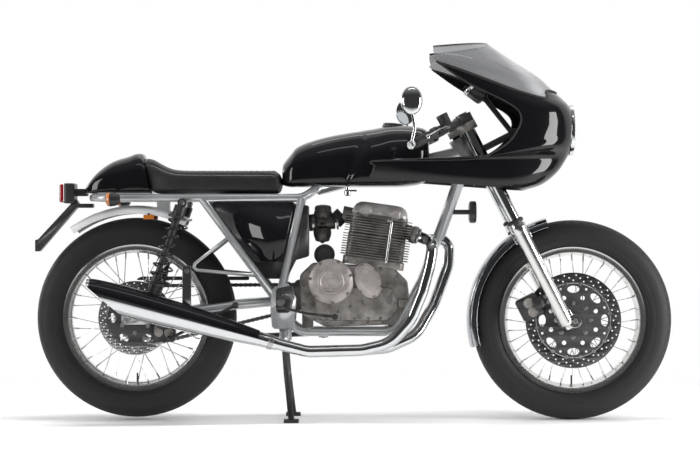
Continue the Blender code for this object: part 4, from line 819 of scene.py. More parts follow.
def build_wheels():
    for name, centre, half, rubber, flange_radius, right, left in (
        ("front", FRONT_AXLE, 0.05, FRONT_RUBBER, 0.046, (-0.0567, 0.038), (0.062, 0.022)),
        ("rear", REAR_AXLE, 0.056, REAR_RUBBER, 0.062, (-0.0627, 0.052), (0.066, 0.05))
    ):
        body = f"{name}_wheel"
        piece(f"{name}_tyre_tread", tyre_ring(centre, half), rubber, body, [f"{name}_tyre"])
        wires, nipples = wire_spokes(centre, flange_radius)
        piece(f"{name}_rim", rim_ring(centre), POLISHED, body, [f"{name}_wheel_rim"])
        piece(f"{name}_spokes", wires, SPOKE_STEEL, body)
        piece(f"{name}_nipples", nipples, CHROME, body)
        piece(f"{name}_hub", hub_shape(centre, flange_radius, right, left), POLISHED, body)


def drilled(centre, radius, bore, rings, hole):
    """A rotor with rings of drilled holes.

    The bore and a hole are a radius and a number of sides, a ring is a count, a radius and a first angle.
    """
    outlines = [circle(0, 0, radius, 96), circle(0, 0, *bore)]
    for ring in rings:
        outlines += [circle(x, y, *hole) for _, x, y in ring_of(*ring)]
    return plate(outlines, 0.005, 0.0004, upright(centre))


def face_bolts(centre, face, side, ring, radius=0.005, height=0.004):
    """Bolt heads round an axle, on a face on one side: the ring's count, radius and first angle."""
    return [
        bolt((centre.x + x, face, centre.z + z), (0, side, 0), radius, height) for _, x, z in ring_of(*ring)
    ]


def build_discs():
    """Drilled rotors on windowed carriers, with their buttons and bolts."""
    centre = Vector((FRONT_AXLE.x, FRONT_DISC_Y, FRONT_AXLE.z))
    rotor = drilled(
        centre, 0.155, (0.1215, 72), ((24, 0.13, 0), (24, 0.1385, 0.1), (24, 0.147, 0.2)), (0.0027, 10)
    )
    piece("front_rotor", rotor, FRONT_ROTOR, "front_wheel", ["front_brake_disc"])
    outlines = [circle(0, 0, 0.1205, 72), circle(0, 0, 0.016, 24)]
    outlines += [circle(x, y, 0.0115, 20, 1.7, a + pi / 2) for a, x, y in ring_of(8, 0.101)]
    outlines += [circle(x, y, 0.0072, 14) for _, x, y in ring_of(8, 0.0785, pi / 8)]
    outlines += [circle(x, y, 0.004, 10) for _, x, y in ring_of(8, 0.109, pi / 8)]
    piece("front_carrier", plate(outlines, 0.0044, 0.0006, upright(centre)), CARRIER_BLACK, "front_wheel")
    buttons = []
    for _, x, z in ring_of(16, 0.1208, pi / 16):
        buttons.append(
            rod(centre + Vector((x, -0.003, z)), centre + Vector((x, 0.0028, z)), 0.006, 16, 0.0008)
        )
    face = FRONT_DISC_Y - 0.0022
    piece("front_disc_bolts", buttons + face_bolts(centre, face, -1, (8, 0.056)), BOLT_STEEL, "front_wheel")
    profile = [(0.03, 0), (0.03, 0.0014), (0.026, 0.003), (0.0105, 0.003)]
    cap = turned(profile, 40, matrix=about_y((centre.x, face - 0.003, centre.z)))
    piece("front_hub_ring", cap, POLISHED, "front_wheel")

    centre = Vector((REAR_AXLE.x, REAR_DISC_Y, REAR_AXLE.z))
    rotor = drilled(
        centre, 0.12, (0.0905, 64), ((30, 0.098, 0), (30, 0.106, 0.07), (30, 0.113, 0.14)), (0.0022, 8)
    )
    piece("rear_rotor", rotor, REAR_ROTOR, "rear_wheel", ["rear_brake_disc"])
    outlines = [circle(0, 0, 0.09, 64), circle(0, 0, 0.016, 24)]
    outlines += [circle(x, y, 0.012, 18, 1.3, a + pi / 2) for a, x, y in ring_of(6, 0.074)]
    piece("rear_carrier", plate(outlines, 0.0044, 0.0006, upright(centre)), CARRIER_BLACK, "rear_wheel")
    bolts = face_bolts(centre, REAR_DISC_Y - 0.0022, -1, (6, 0.048, 0.5))
    piece("rear_disc_bolts", bolts, BOLT_STEEL, "rear_wheel")


def build_sprocket():
    tip, teeth = 0.08675, 38
    tooth = ((0, 0.0055), (0.22, 0.0045), (0.42, 0.0004), (0.58, 0.0004), (0.78, 0.0045))
    edge = []
    for i in range(teeth):
        for share, depth in tooth:
            angle = tau * (i + share) / teeth
            edge.append(((tip - depth) * cos(angle), (tip - depth) * sin(angle)))
    outlines = [edge, circle(0, 0, 0.018, 24)]
    outlines += [circle(x, y, 0.011, 16, 1.25, a) for a, x, y in ring_of(6, 0.064)]
    gear = plate(outlines, 0.0058, 0.0006, upright((REAR_AXLE.x, SPROCKET_Y, REAR_AXLE.z)))
    piece("rear_sprocket_gear", gear, SPROCKET_STEEL, "rear_wheel", ["rear_sprocket"])
    bolts = face_bolts(REAR_AXLE, SPROCKET_Y + 0.0029, 1, (6, 0.04, 0.5), 0.005, 0.003)
    piece("rear_sprocket_bolts", bolts, BOLT_STEEL, "rear_wheel")


# Fork and axle, in the fork's own frame


def build_fork():
    x, y = FORK_OFFSET, -FORK_SPREAD
    axle_x = FORK_OFFSET + AXLE_LEAD
    profile = [
        (0.018, -0.004), (0.0225, 0), (0.0248, 0.006), (0.0248, 0.33), (0.0262, 0.334), (0.0278, 0.345),
        (0.0278, 0.358), (0.0258, 0.361), (0.0258, 0.368)
    ]
    place = shift(x, y, 0)
    slider = turned(profile, 40, matrix=place)
    lug = rod((axle_x, y - 0.018, 0), (axle_x, y + 0.018, 0), 0.0215, 36, 0.0015)
    toe = block((x - 0.012, y - 0.0155, -0.0175), (axle_x + 0.004, y + 0.0155, 0.045), 0.006, 3)
    tube = rod((x, y, 0.3785), (x, y, FORK_LENGTH), 0.0204, 40, 0.001)
    for side, name in SIDES:
        lower = in_steering(joined(on_side([slider, lug, toe], side)))
        piece(f"fork_lower_{name}", lower, POLISHED, "steering", [f"fork_slider_{name}"])
        leg = in_steering(joined(on_side([tube], side)))
        piece(f"fork_leg_{name}", leg, CHROME, "steering", [f"fork_tube_{name}"])
    ring = [(0.021, 0.366), (0.0272, 0.367), (0.0276, 0.374), (0.024, 0.378), (0.021, 0.379)]
    seal = turned(ring, 40, matrix=place)
    pinch = bolt((axle_x + 0.008, y - 0.0155, -0.012), (0, -1, 0), 0.0036)
    clamp = bolt((x, y - 0.0155, 0.04), (0, -1, 0), 0.003)
    piece("fork_seals", in_steering(joined(both(seal))), RUBBER, "steering")
    piece("fork_pinch_bolts", in_steering(joined(both(pinch) + both(clamp))), BOLT_STEEL, "steering")
    axle = rod((axle_x, -0.1185, 0), (axle_x, 0.1185, 0), 0.0084, 32, 0.0015)
    piece("front_spindle", in_steering(axle), BOLT_STEEL, "steering", ["front_axle"])


# Body panels

# x, underside, top, half width
TANK_ROWS = [
    (-0.2316, 0.784, 0.806, 0.03), (-0.2312, 0.772, 0.82, 0.056), (-0.228, 0.762, 0.834, 0.08),
    (-0.205, 0.757, 0.864, 0.102), (-0.183, 0.757, 0.888, 0.11), (-0.137, 0.757, 0.908, 0.117),
    (-0.09, 0.757, 0.924, 0.12), (-0.045, 0.757, 0.935, 0.12), (-0.018, 0.757, 0.94, 0.122),
    (0.002, 0.757, 0.944, 0.136), (0.025, 0.757, 0.947, 0.143), (0.098, 0.757, 0.956, 0.147),
    (0.16, 0.758, 0.958, 0.14), (0.215, 0.766, 0.952, 0.118), (0.238, 0.78, 0.942, 0.096),
    (0.2445, 0.8, 0.926, 0.066), (0.245, 0.82, 0.905, 0.03)
]
KNEE_X = 0
KNEE_LEAN = 0.45
CAP_PLACE = Vector((0.128, 0, 0.95))


def tank_point(share, along):
    """A point of the tank's skin. The knee flutes lean forward with their height."""
    point = shell_point(between(TANK_ROWS, along), share, 0.42, 5, 2.4)
    knee = max(0, 1 - abs(point.x - KNEE_X) / 0.16)
    point.x += KNEE_LEAN * (min(point.z, 0.895) - 0.8) * knee * knee * (3 - 2 * knee)
    return point


def build_tank():
    shell = skin(tank_point, 72, 110, closed=True)
    piece("tank_shell", shell, BLACK, "frame", ["fuel_tank"], sharp=50)
    axis = (0.002, 0, 0.0285)
    neck = CAP_PLACE
    cap = turned(
        [
            (0, 0), (0.034, 0), (0.0355, 0.003), (0.0355, 0.006), (0.033, 0.0085), (0.0325, 0.014),
            (0.029, 0.0165), (0, 0.0185)
        ],
        48, matrix=aimed(neck - Vector(axis) * 0.02, neck + Vector(axis))
    )
    piece("filler_cap", cap, SATIN)
    stem = rod((-0.02, -0.08, 0.7565), (-0.02, -0.08, 0.745), 0.0075, 20, 0.0005)
    bowl = turned([(0, 0), (0.006, 0), (0.0105, 0.004), (0.011, 0.015), (0.009, 0.017), (0, 0.017)], 28)
    moved(bowl, shift(-0.02, -0.08, 0.728))
    lever = block((-0.026, -0.094, 0.7415), (0.01, -0.0905, 0.7475), 0.0012)
    spindle = rod((-0.02, -0.08, 0.7445), (-0.02, -0.092, 0.7445), 0.0045, 16)
    piece("fuel_tap", [stem, bowl, lever, spindle], CHROME)
    seams = []
    for side in (-1, 1):
        line = [tank_point(0.5 + 0.5 * (side > 0) - side * 0.035, 0.1 + 0.8 * i / 24) for i in range(25)]
        seams.append(pipe(line, 0.02, 0.0009, 6, 1))
    piece("tank_seams", seams, BLACK)


# x at the middle, z at the middle, x at the sides, z at the sides, half width, squareness
FAIRING_ROWS = [
    (0.558, 0.747, 0.05, 0.786, 0.168, 3.6), (0.614, 0.766, 0.058, 0.8, 0.18, 3.2),
    (0.663, 0.805, 0.066, 0.822, 0.187, 2.8), (0.694, 0.85, 0.075, 0.838, 0.19, 2.5),
    (0.714, 0.892, 0.367, 0.843, 0.193, 2.4), (0.725, 0.94, 0.445, 0.866, 0.193, 2.3),
    (0.718, 0.988, 0.511, 0.92, 0.19, 2.3), (0.7, 1.022, 0.522, 1, 0.187, 2.3),
    (0.682, 1.042, 0.363, 1.086, 0.188, 2.3), (0.659, 1.062, 0.262, 1.156, 0.184, 2.3)
]
SCREEN_ROWS = [
    (0.612, 1.108, 0.258, 1.17, 0.181, 2.3), (0.5655, 1.14, 0.255, 1.182, 0.177, 2.3),
    (0.519, 1.169, 0.2535, 1.193, 0.17, 2.3), (0.437, 1.2236, 0.2535, 1.207, 0.158, 2.3)
]
WHOLE_ROWS = FAIRING_ROWS + SCREEN_ROWS
LAMP_Z = 0.943
LAMP_HOLE = 0.083


def bowed(row, share):
    """A point across a bowed panel, from the right side through the nose to the left."""
    front_x, front_z, side_x, side_z, half, power = row
    ahead, across = superellipse(pi * (share - 0.5), power)
    return Vector((side_x + (front_x - side_x) * ahead, half * across, side_z + (front_z - side_z) * ahead))


# How far the screen's foot dips below the fairing's top row, in rows, from the sides to the nose
FOOT_DIP = [
    (0, 0.12), (0.22, 0.5), (0.45, 1.1), (0.66, 1.42), (0.76, 1.1), (0.86, 0.3), (0.94, 0.04), (1, 0)
]


def nose_point(share, along):
    return bowed(between(WHOLE_ROWS, along), share)


def foot_place(share):
    """Where along the rows the screen ends and the fairing starts."""
    ahead = cos(pi * (share - 0.5))
    spans = zip(FOOT_DIP, FOOT_DIP[1:])
    along = sum(min(max((ahead - near) / (far - near), 0), 1) for (near, _), (far, _) in spans)
    dip = between([(depth,) for _, depth in FOOT_DIP], along / (len(FOOT_DIP) - 1))[0]
    return (len(FAIRING_ROWS) - 1 - dip) / (len(WHOLE_ROWS) - 1)


def build_fairing():
    outer = skin(lambda u, v: nose_point(u, v * foot_place(u)), 128, 100)
    for corner in outer.verts:
        offset = Vector((0, corner.co.y, corner.co.z - LAMP_Z))
        if corner.co.x > 0.5 and abs(offset.length - LAMP_HOLE) < 0.0035:
            corner.co += offset.normalized() * (LAMP_HOLE - offset.length)
    hidden = []
    for face in outer.faces:
        centre = face.calc_center_median()
        if centre.x > 0.5 and hypot(centre.y, centre.z - LAMP_Z) < LAMP_HOLE:
            hidden.append(face)
    bmesh.ops.delete(outer, geom=hidden, context="FACES")
    walled(outer, 0.0035)
    piece("fairing_shell", outer, BLACK, "frame", ["fairing"], sharp=50)

    def screen_point(u, v):
        foot = foot_place(u) + 0.002
        return nose_point(u, foot + (1 - foot) * v)

    screen = skin(screen_point, 96, 48)
    walled(screen, 0.0026)
    piece("screen_shell", screen, SMOKE, "frame", ["windscreen"], sharp=50)
    foot = pipe([nose_point(i / 64, foot_place(i / 64)) for i in range(65)], 0.03, 0.0046, 10, 1)
    top = pipe([nose_point(i / 64, 1) - Vector((0, 0, 0.0034)) for i in range(65)], 0.03, 0.003, 10, 1)
    piece("screen_trim", [foot, top], RUBBER)
    rims = []
    for side in (0, 1):
        rims.append(
            pipe([bowed(between(FAIRING_ROWS, i / 60), side) for i in range(61)], 0.03, 0.003, 8, 1)
        )
    piece("fairing_edge", rims, RUBBER)


def build_headlight():
    centre = Vector((0, 0, LAMP_Z))
    lay = Matrix.Translation(centre) @ Matrix.Rotation(pi / 2, 4, "Y")
    bucket = turned(
        [
            (0, 0.6), (0.03, 0.598), (0.052, 0.608), (0.066, 0.628), (0.076, 0.655), (0.08, 0.69),
            (0.08, 0.704)
        ],
        72, matrix=lay
    )
    piece("headlight_bucket", bucket, SATIN, "frame", ["headlight"])
    ring = turned(
        [
            (0.0805, 0.701), (0.083, 0.703), (0.0838, 0.709), (0.0825, 0.7145), (0.079, 0.7165),
            (0.0765, 0.714), (0.0765, 0.701)
        ],
        96, closed=True, matrix=lay
    )
    piece("headlight_ring", ring, CHROME)
    bowl = turned(
        [(0, 0.67), (0.012, 0.6705), (0.03, 0.675), (0.05, 0.685), (0.066, 0.697), (0.0755, 0.7055)], 72,
        matrix=lay
    )
    piece("headlight_reflector", bowl, CHROME)
    dome = turned(
        [
            (0.076, 0.707), (0.076, 0.7125), (0.072, 0.7175), (0.062, 0.7225), (0.045, 0.7262),
            (0.025, 0.7283), (0, 0.7289)
        ],
        72, matrix=lay
    )
    piece("headlight_lens", dome, LAMP_GLASS, sharp=60)
    bulb = ball((0.688, 0, LAMP_Z), (0.01, 0.008, 0.008), 20, 12)
    piece("headlight_bulb", bulb, CHROME)


# x, underside, top, half width
COWL_ROWS = [
    (-0.664, 0.7352, 0.842, 0.1105), (-0.684, 0.7352, 0.864, 0.109), (-0.706, 0.7352, 0.8665, 0.1095),
    (-0.73, 0.7352, 0.858, 0.11), (-0.784, 0.7352, 0.84, 0.106), (-0.83, 0.7352, 0.808, 0.094),
    (-0.858, 0.7352, 0.775, 0.078), (-0.8695, 0.7356, 0.756, 0.06), (-0.8715, 0.738, 0.748, 0.04)
]
SEAT_ROWS = [
    (-0.2323, 0.7352, 0.8, 0.092), (-0.236, 0.7352, 0.808, 0.101), (-0.25, 0.7352, 0.811, 0.106),
    (-0.3, 0.7352, 0.811, 0.11), (-0.45, 0.7352, 0.811, 0.118), (-0.56, 0.7352, 0.812, 0.12),
    (-0.605, 0.7352, 0.822, 0.118), (-0.65, 0.7352, 0.846, 0.108), (-0.672, 0.7352, 0.858, 0.106)
]
# The slanted joint between seat and cowl: a point on it, and its normal towards the cowl
JOINT_PLACE = Vector((-0.669, 0, 0.8))
JOINT_NORMAL = Vector((-0.9786, 0, -0.2055))


def cut_off(bm, place, normal):
    """Cuts a closed shape and closes the cut."""
    return closed_up(cut(bm, place, normal), fill=True)


def build_cowl():
    def point(share, along):
        return shell_point(between([(-0.64, 0.7352, 0.815, 0.111)] + COWL_ROWS, along), share, 0.4, 6, 2.6)

    shell = cut_off(skin(point, 72, 70, closed=True), JOINT_PLACE + JOINT_NORMAL * 0.0004, -JOINT_NORMAL)
    piece("cowl_shell", shell, BLACK, "frame", ["seat_cowl"], sharp=50)


def seat_point(share, along):
    rows = SEAT_ROWS + [(-0.7, 0.7352, 0.872, 0.105)]
    return shell_point(between(rows, along), share, 0.45, 6, 3.2)


SEAT_FLOOR = SEAT_ROWS[0][1]
CHANNEL_PITCH = 0.019


def swelled(bm, held, voxel=0.005, pressure=4, cap=0.006):
    """A filled bag of cloth, remeshed evenly and blown up for 20 frames. No point moves past the cap."""
    scene = bpy.context.scene
    mesh = bpy.data.meshes.new("bag")
    bm.to_mesh(mesh)
    bag = bpy.data.objects.new("bag", mesh)
    scene.collection.objects.link(bag)
    remesh = bag.modifiers.new("even", "REMESH")
    remesh.mode, remesh.voxel_size = "VOXEL", voxel
    bpy.context.view_layer.update()
    even = bpy.data.meshes.new_from_object(bag.evaluated_get(bpy.context.evaluated_depsgraph_get()))
    bag.modifiers.clear()
    bag.data = even
    ways = [Vector() for _ in even.vertices]
    group = bag.vertex_groups.new(name="held")
    group.add([v.index for v in even.vertices if held(v.co)], 1, "REPLACE")
    cloth = bag.modifiers.new("cloth", "CLOTH")
    cloth.settings.use_pressure = True
    cloth.settings.uniform_pressure_force = pressure
    cloth.settings.effector_weights.gravity = 0
    cloth.settings.vertex_group_mass = group.name
    cloth.point_cache.frame_start, cloth.point_cache.frame_end = 1, 20
    for step in range(1, 21):
        scene.frame_set(step)
    full = bpy.data.meshes.new_from_object(bag.evaluated_get(bpy.context.evaluated_depsgraph_get()))
    ways = [after.co - before.co for after, before in zip(full.vertices, even.vertices)]
    bpy.data.meshes.remove(full)
    scene.frame_set(1)
    made = bmesh.new()
    made.from_mesh(even)
    for corner, way in zip(made.verts, ways):
        corner.co += way * min(1, cap / max(way.length, 1e-9))
    bpy.data.objects.remove(bag)
    return made


def build_seat():
    """A foam pad on a flat base, swelled inside its CAD space, with sewn channels, piping and stitches."""
    room = cut_off(skin(seat_point, 72, 90, closed=True), JOINT_PLACE - JOINT_NORMAL * 0.0004, JOINT_NORMAL)
    walls = BVHTree.FromBMesh(room)
    small = room.copy()
    for corner in small.verts:
        corner.co -= corner.normal * 0.0045
        corner.co.z = max(corner.co.z, SEAT_FLOOR + 0.0003)
    room.free()
    pad = swelled(small, lambda place: place.z < SEAT_FLOOR + 0.004)
    small.free()
    for _ in range(3):
        bmesh.ops.smooth_vert(
            pad, verts=pad.verts, factor=0.5, use_axis_x=True, use_axis_y=True, use_axis_z=True
        )
    bmesh.ops.subdivide_edges(pad, edges=pad.edges, cuts=1, use_grid_fill=True)
    bmesh.ops.smooth_vert(
        pad, verts=pad.verts, factor=0.5, use_axis_x=True, use_axis_y=True, use_axis_z=True
    )
    pad.normal_update()
    for corner in pad.verts:
        place, normal, _, _ = walls.find_nearest(corner.co)
        past = (corner.co - place).dot(normal)
        if past > -0.0002:
            corner.co -= normal * (past + 0.0002)
        run = -corner.co.x + 0.75 * max(0, corner.co.z - 0.812)
        line = abs((run / CHANNEL_PITCH) % 1 - 0.5) * 2
        top = min(max((corner.normal.z - 0.35) / 0.3, 0), 1) * min(
            max((0.088 - abs(corner.co.y)) / 0.006, 0), 1
        )
        start = min(max((-0.262 - corner.co.x) / 0.01, 0), 1)
        corner.co -= corner.normal * 0.003 * top * start * max(0, 1 - (1 - line) / 0.3) ** 2
    surface = BVHTree.FromBMesh(pad)
    obj = piece("seat_pad", pad, HIDE, "frame", ["seat"], sharp=60)

    def on_shoulder(x, drop, side, lift):
        """A point of the pad a little below its top, seen from the side."""
        top, _, _, _ = surface.ray_cast(Vector((x, side * 0.07, 1)), Vector((0, 0, -1)))
        place, normal, _, _ = surface.ray_cast(Vector((x, side * 0.2, top.z - drop)), Vector((0, -side, 0)))
        return place + normal * lift

    cords, threads = [], []
    for side in (-1, 1):
        line = [on_shoulder(-0.25 - 0.408 * i / 60, 0.008, side, -0.001) for i in range(61)]
        cords.append(pipe(line, 0.01, 0.0022, 8, 1))
        for i in range(68):
            x = -0.256 - 0.0059 * i
            ends = [on_shoulder(x - step, 0.0135, side, -0.0002) for step in (0, 0.0038)]
            threads.append(rod(*ends, 0.0007, 5))
    piece("seat_piping", cords, HIDE, sharp=60)
    piece("seat_stitches", threads, THREAD)


def build_side_covers():
    for name in ("right", "left"):
        smooth_node(f"side_cover_{name}", BLACK, 40)


# Engine

CYLINDER_FOOT = Vector((0.062, 0, 0.5))
CYLINDER_TILT = Matrix.Translation(CYLINDER_FOOT) @ Matrix.Rotation(radians(8), 4, "Y")
CASE_OUTLINE = [
    (-0.168, 0.345), (-0.172, 0.47), (-0.13, 0.51), (0.125, 0.496), (0.172, 0.45), (0.18, 0.38),
    (0.13, 0.312), (-0.09, 0.304)
]
# The middles of the round covers: clutch on the right, alternator on the left, and the oval one
CLUTCH_PLACE = Vector((-0.074, 0, 0.451))
ALTERNATOR_PLACE = Vector((0.02, 0, 0.425))
OVAL_PLACE = Vector((0.046, 0, 0.455))
OVAL_LEAN = radians(25)
# The starter motor is pressed flat below this height, where it rests on the case
MOTOR_FOOT = 0.5085
MOTOR_X, MOTOR_Z = -0.095, 0.538


def lean(height, forward=0, y=0):
    """A place in the leaning cylinder's frame."""
    return CYLINDER_TILT @ Vector((forward, y, height))


def inset_outline(outline, amount):
    """An outline's corners moved towards its middle."""
    x = sum(p[0] for p in outline) / len(outline)
    z = sum(p[1] for p in outline) / len(outline)
    return [(px + (x - px) * amount, pz + (z - pz) * amount) for px, pz in outline]


def side_plate(outlines, y_low, y_high, edge=0):
    """An upright plate between two distances across the machine."""
    return plate(outlines, y_high - y_low, edge, upright((0, (y_low + y_high) / 2, 0)))


def case_bolts(outline, y, side, every=0.045, radius=0.0042, inward=0.006):
    """Bolt heads set evenly along an outline."""
    bolts = []
    centre = Vector(
        (sum(p[0] for p in outline) / len(outline), 0, sum(p[1] for p in outline) / len(outline))
    )
    corners = [Vector((x, 0, z)) for x, z in outline]
    for a, b in zip(corners, corners[1:] + corners[:1]):
        count = max(1, round((b - a).length / every))
        for i in range(count):
            p = a.lerp(b, (i + 0.5) / count)
            p += (centre - p).normalized() * inward
            bolts.append(bolt((p.x, y, p.z), (0, side, 0), radius, 0.0035))
    return bolts


def build_crankcase():
    case = side_plate([rounded(CASE_OUTLINE, 0.024, 8)], -0.0775, 0.0545, 0.004)
    belt = side_plate([rounded(inset_outline(CASE_OUTLINE, -0.022), 0.024, 8)], -0.014, -0.006, 0.0015)
    sump = [
        (-0.118, 0.326), (-0.128, 0.4), (-0.11, 0.432), (0.118, 0.432), (0.138, 0.405), (0.146, 0.362),
        (0.11, 0.325)
    ]
    cover = side_plate([rounded(sump, 0.024, 8)], -0.09, -0.07, 0.006)
    rib_lines = []
    for i in range(5):
        x = -0.1 + 0.014 * i
        rib_lines.append(block((x, -0.0925, 0.336), (x + 0.004, -0.088, 0.372), 0.0015))
    left = turned(
        [(0.076, 0.045), (0.076, 0.086), (0.0735, 0.0915), (0.068, 0.0955), (0.04, 0.0975), (0, 0.098)], 72,
        matrix=about_y(ALTERNATOR_PLACE)
    )
    left_outline = [(-0.192, 0.352), (-0.198, 0.452), (-0.03, 0.47), (-0.03, 0.37)]
    guard = side_plate([rounded(left_outline, 0.018, 6)], 0.0865, 0.0925, 0.0015)
    boss = rod((-0.15, 0.05, 0.402), (-0.15, 0.08, 0.402), 0.0275, 36, 0.001)
    deck = plate(
        [rounded([(-0.1, -0.076), (0.1, -0.076), (0.1, 0.076), (-0.1, 0.076)], 0.022, 6)], 0.025, 0.002
    )
    moved(deck, CYLINDER_TILT @ shift(0, 0, 0.011))
    lugs = [
        block((0.145, -0.0952, 0.368), (0.204, 0.0952, 0.392), 0.004, 3),
        block((-0.168, -0.034, 0.2885), (-0.132, 0.034, 0.346), 0.004, 3),
        block((0.112, -0.034, 0.2885), (0.148, 0.034, 0.332), 0.004, 3)
    ]
    shapes = [case, belt, cover, left, guard, boss, deck] + lugs + rib_lines
    piece("crankcase_body", shapes, CASE_ALLOY, "frame", ["crankcase"])

    clutch = turned(
        [
            (0.074, -0.068), (0.0745, -0.09), (0.0725, -0.095), (0.069, -0.0985), (0.06, -0.101),
            (0.057, -0.103), (0.043, -0.1042), (0.0405, -0.1064), (0.033, -0.107), (0.031, -0.1052),
            (0.012, -0.1052), (0.01, -0.1085), (0, -0.1088)
        ],
        72, matrix=about_y(CLUTCH_PLACE)
    )
    slot = block((-0.094, -0.1092, 0.4225), (-0.054, -0.106, 0.4285), 0.001)
    oval_outline = circle(0, 0, 0.041, 48, 1.463, pi / 2 + OVAL_LEAN)
    layers = []
    for shrink, low, high, edge in (
        (0, -0.096, -0.066, 0.004), (0.13, -0.101, -0.09, 0.003), (0.34, -0.1036, -0.096, 0.002)
    ):
        outline = [(x * (1 - shrink), z * (1 - shrink)) for x, z in oval_outline]
        layer = plate([outline], high - low, edge, upright((OVAL_PLACE.x, (low + high) / 2, OVAL_PLACE.z)))
        layers.append(layer)
    piece("clutch_cover", [clutch, slot] + layers, COVER_ALLOY)

    bolts = face_bolts(CLUTCH_PLACE, -0.0985, -1, (7, 0.0665, 0.3), 0.0036, 0.0035)
    for i in range(6):
        angle = tau * i / 6 + 0.4
        u, v = 0.036 * cos(angle), 0.053 * sin(angle)
        x = u * cos(OVAL_LEAN) - v * sin(OVAL_LEAN)
        z = u * sin(OVAL_LEAN) + v * cos(OVAL_LEAN)
        bolts.append(bolt((OVAL_PLACE.x + x, -0.0955, OVAL_PLACE.z + z), (0, -1, 0), 0.0033, 0.003))
    bolts += case_bolts(sump[:1] + sump[3:], -0.0895, -1, 0.042, 0.0036, 0.008)
    bolts += case_bolts(CASE_OUTLINE, -0.0775, -1, 0.06, 0.0038, 0.007)
    bolts += face_bolts(ALTERNATOR_PLACE, 0.0945, 1, (8, 0.069, 0.2), 0.0036, 0.003)
    plug = rod((0.116, -0.0905, 0.392), (0.116, -0.0965, 0.392), 0.0125, 32, 0.0015)
    filler = rod((0.118, -0.095, 0.345), (0.118, -0.078, 0.345), 0.01, 24, 0.0015)
    piece("crankcase_bolts", bolts + [plug, filler], BOLT_STEEL)
    motor = [
        rod((MOTOR_X, -0.0575, MOTOR_Z), (MOTOR_X, 0.05, MOTOR_Z), 0.0335, 48, 0.002),
        rod((MOTOR_X, -0.064, MOTOR_Z), (MOTOR_X, -0.057, MOTOR_Z), 0.024, 36, 0.003)
    ]
    for corner in [v for shape in motor for v in shape.verts if v.co.z < MOTOR_FOOT]:
        corner.co.z = MOTOR_FOOT + (corner.co.z - MOTOR_FOOT) * 0.05
    piece("starter_motor_body", motor, SATIN, "frame", ["starter_motor"])


def fin_outline(half_x, half_y, corner=0.022):
    return rounded([(-half_x, -half_y), (half_x, -half_y), (half_x, half_y), (-half_x, half_y)], corner, 7)


def build_cylinder():
    """Barrel and head: thin fins on a core, with the head's cover, ports and nuts."""
    for node, low, high, count, core, fin, start, pitch in (
        ("cylinder", 0.0245, 0.0998, 9, (0.094, 0.074), (0.11, 0.088), 0.029, 0.0083),
        ("cylinder_head", 0.101, 0.167, 7, (0.092, 0.072), (0.108, 0.086), 0.1065, 0.0083)
    ):
        body = plate(
            [fin_outline(*core)], high - low, 0,
            CYLINDER_TILT @ Matrix.Translation((0, 0, (low + high) / 2))
        )
        fins = []
        for i in range(count):
            at = CYLINDER_TILT @ shift(0, 0, start + pitch * i)
            fins.append(plate([fin_outline(*fin)], 0.0026, 0.0006, at))
        shapes = [body] + fins
        if node == "cylinder_head":
            for y in (-0.045, 0.045):
                port = rod(lean(0.135, 0.06, y), lean(0.118, 0.1275, y * 1.155), 0.024, 40, 0.002)
                flange = rod(
                    lean(0.1215, 0.112, y * 1.13), lean(0.118, 0.1275, y * 1.155), 0.0285, 40, 0.002
                )
                shapes += [port, flange]
            shapes.append(rod(lean(0.15, -0.05, 0), lean(0.155, -0.1215, 0), 0.027, 40, 0.002))
        piece(f"{node}_fins", shapes, FIN_ALLOY, "frame", [node])
    rings = []
    for height, x, y in (
        (0.1668, 0.092, 0.072), (0.172, 0.091, 0.071), (0.185, 0.087, 0.067), (0.196, 0.08, 0.06),
        (0.203, 0.068, 0.049), (0.205, 0.056, 0.038)
    ):
        rings.append([lean(height, px, py) for px, py in fin_outline(x, y, 0.026)])
    cover = bridged(rings)
    humps = []
    for forward in (-0.048, 0.048):
        humps.append(rod(lean(0.176, forward, -0.078), lean(0.176, forward, 0.078), 0.019, 40, 0.002))
        for side in (-1, 1):
            humps.append(
                rod(
                    lean(0.176, forward, side * 0.077), lean(0.176, forward, side * 0.0835), 0.015, 8,
                    0.0025
                )
            )
    piece("rocker_cover", [cover] + humps, LIT_ROCKER_ALLOY)
    nuts = []
    for forward, y in (
        (-0.078, -0.06), (0.078, -0.06), (0.078, 0.06), (-0.078, 0.06), (0, -0.066), (0, 0.066)
    ):
        nuts.append(bolt(lean(0.17, forward, y), lean(1, 0, 0) - lean(0, 0, 0), 0.005, 0.005))
    plug = [
        rod(lean(0.15, 0.03, -0.07), lean(0.158, 0.034, -0.096), 0.0068, 24, 0.001),
        rod(lean(0.154, 0.032, -0.082), lean(0.156, 0.033, -0.088), 0.0098, 6, 0.001)
    ]
    tube = pipe(
        [
            lean(0.018, 0.04, -0.08), lean(0.018, 0.04, -0.0935), lean(0.15, 0.04, -0.0935),
            lean(0.163, 0.04, -0.076)
        ],
        0.01, 0.0046, 20, 6
    )
    gasket = plate([fin_outline(0.0935, 0.0735)], 0.0022, 0, CYLINDER_TILT @ shift(0, 0, 0.1004))
    piece("head_gasket", gasket, SATIN)
    piece("head_nuts", nuts + plug, BOLT_STEEL)
    piece("oil_line", tube, POLISHED)


CARB_X = -0.102


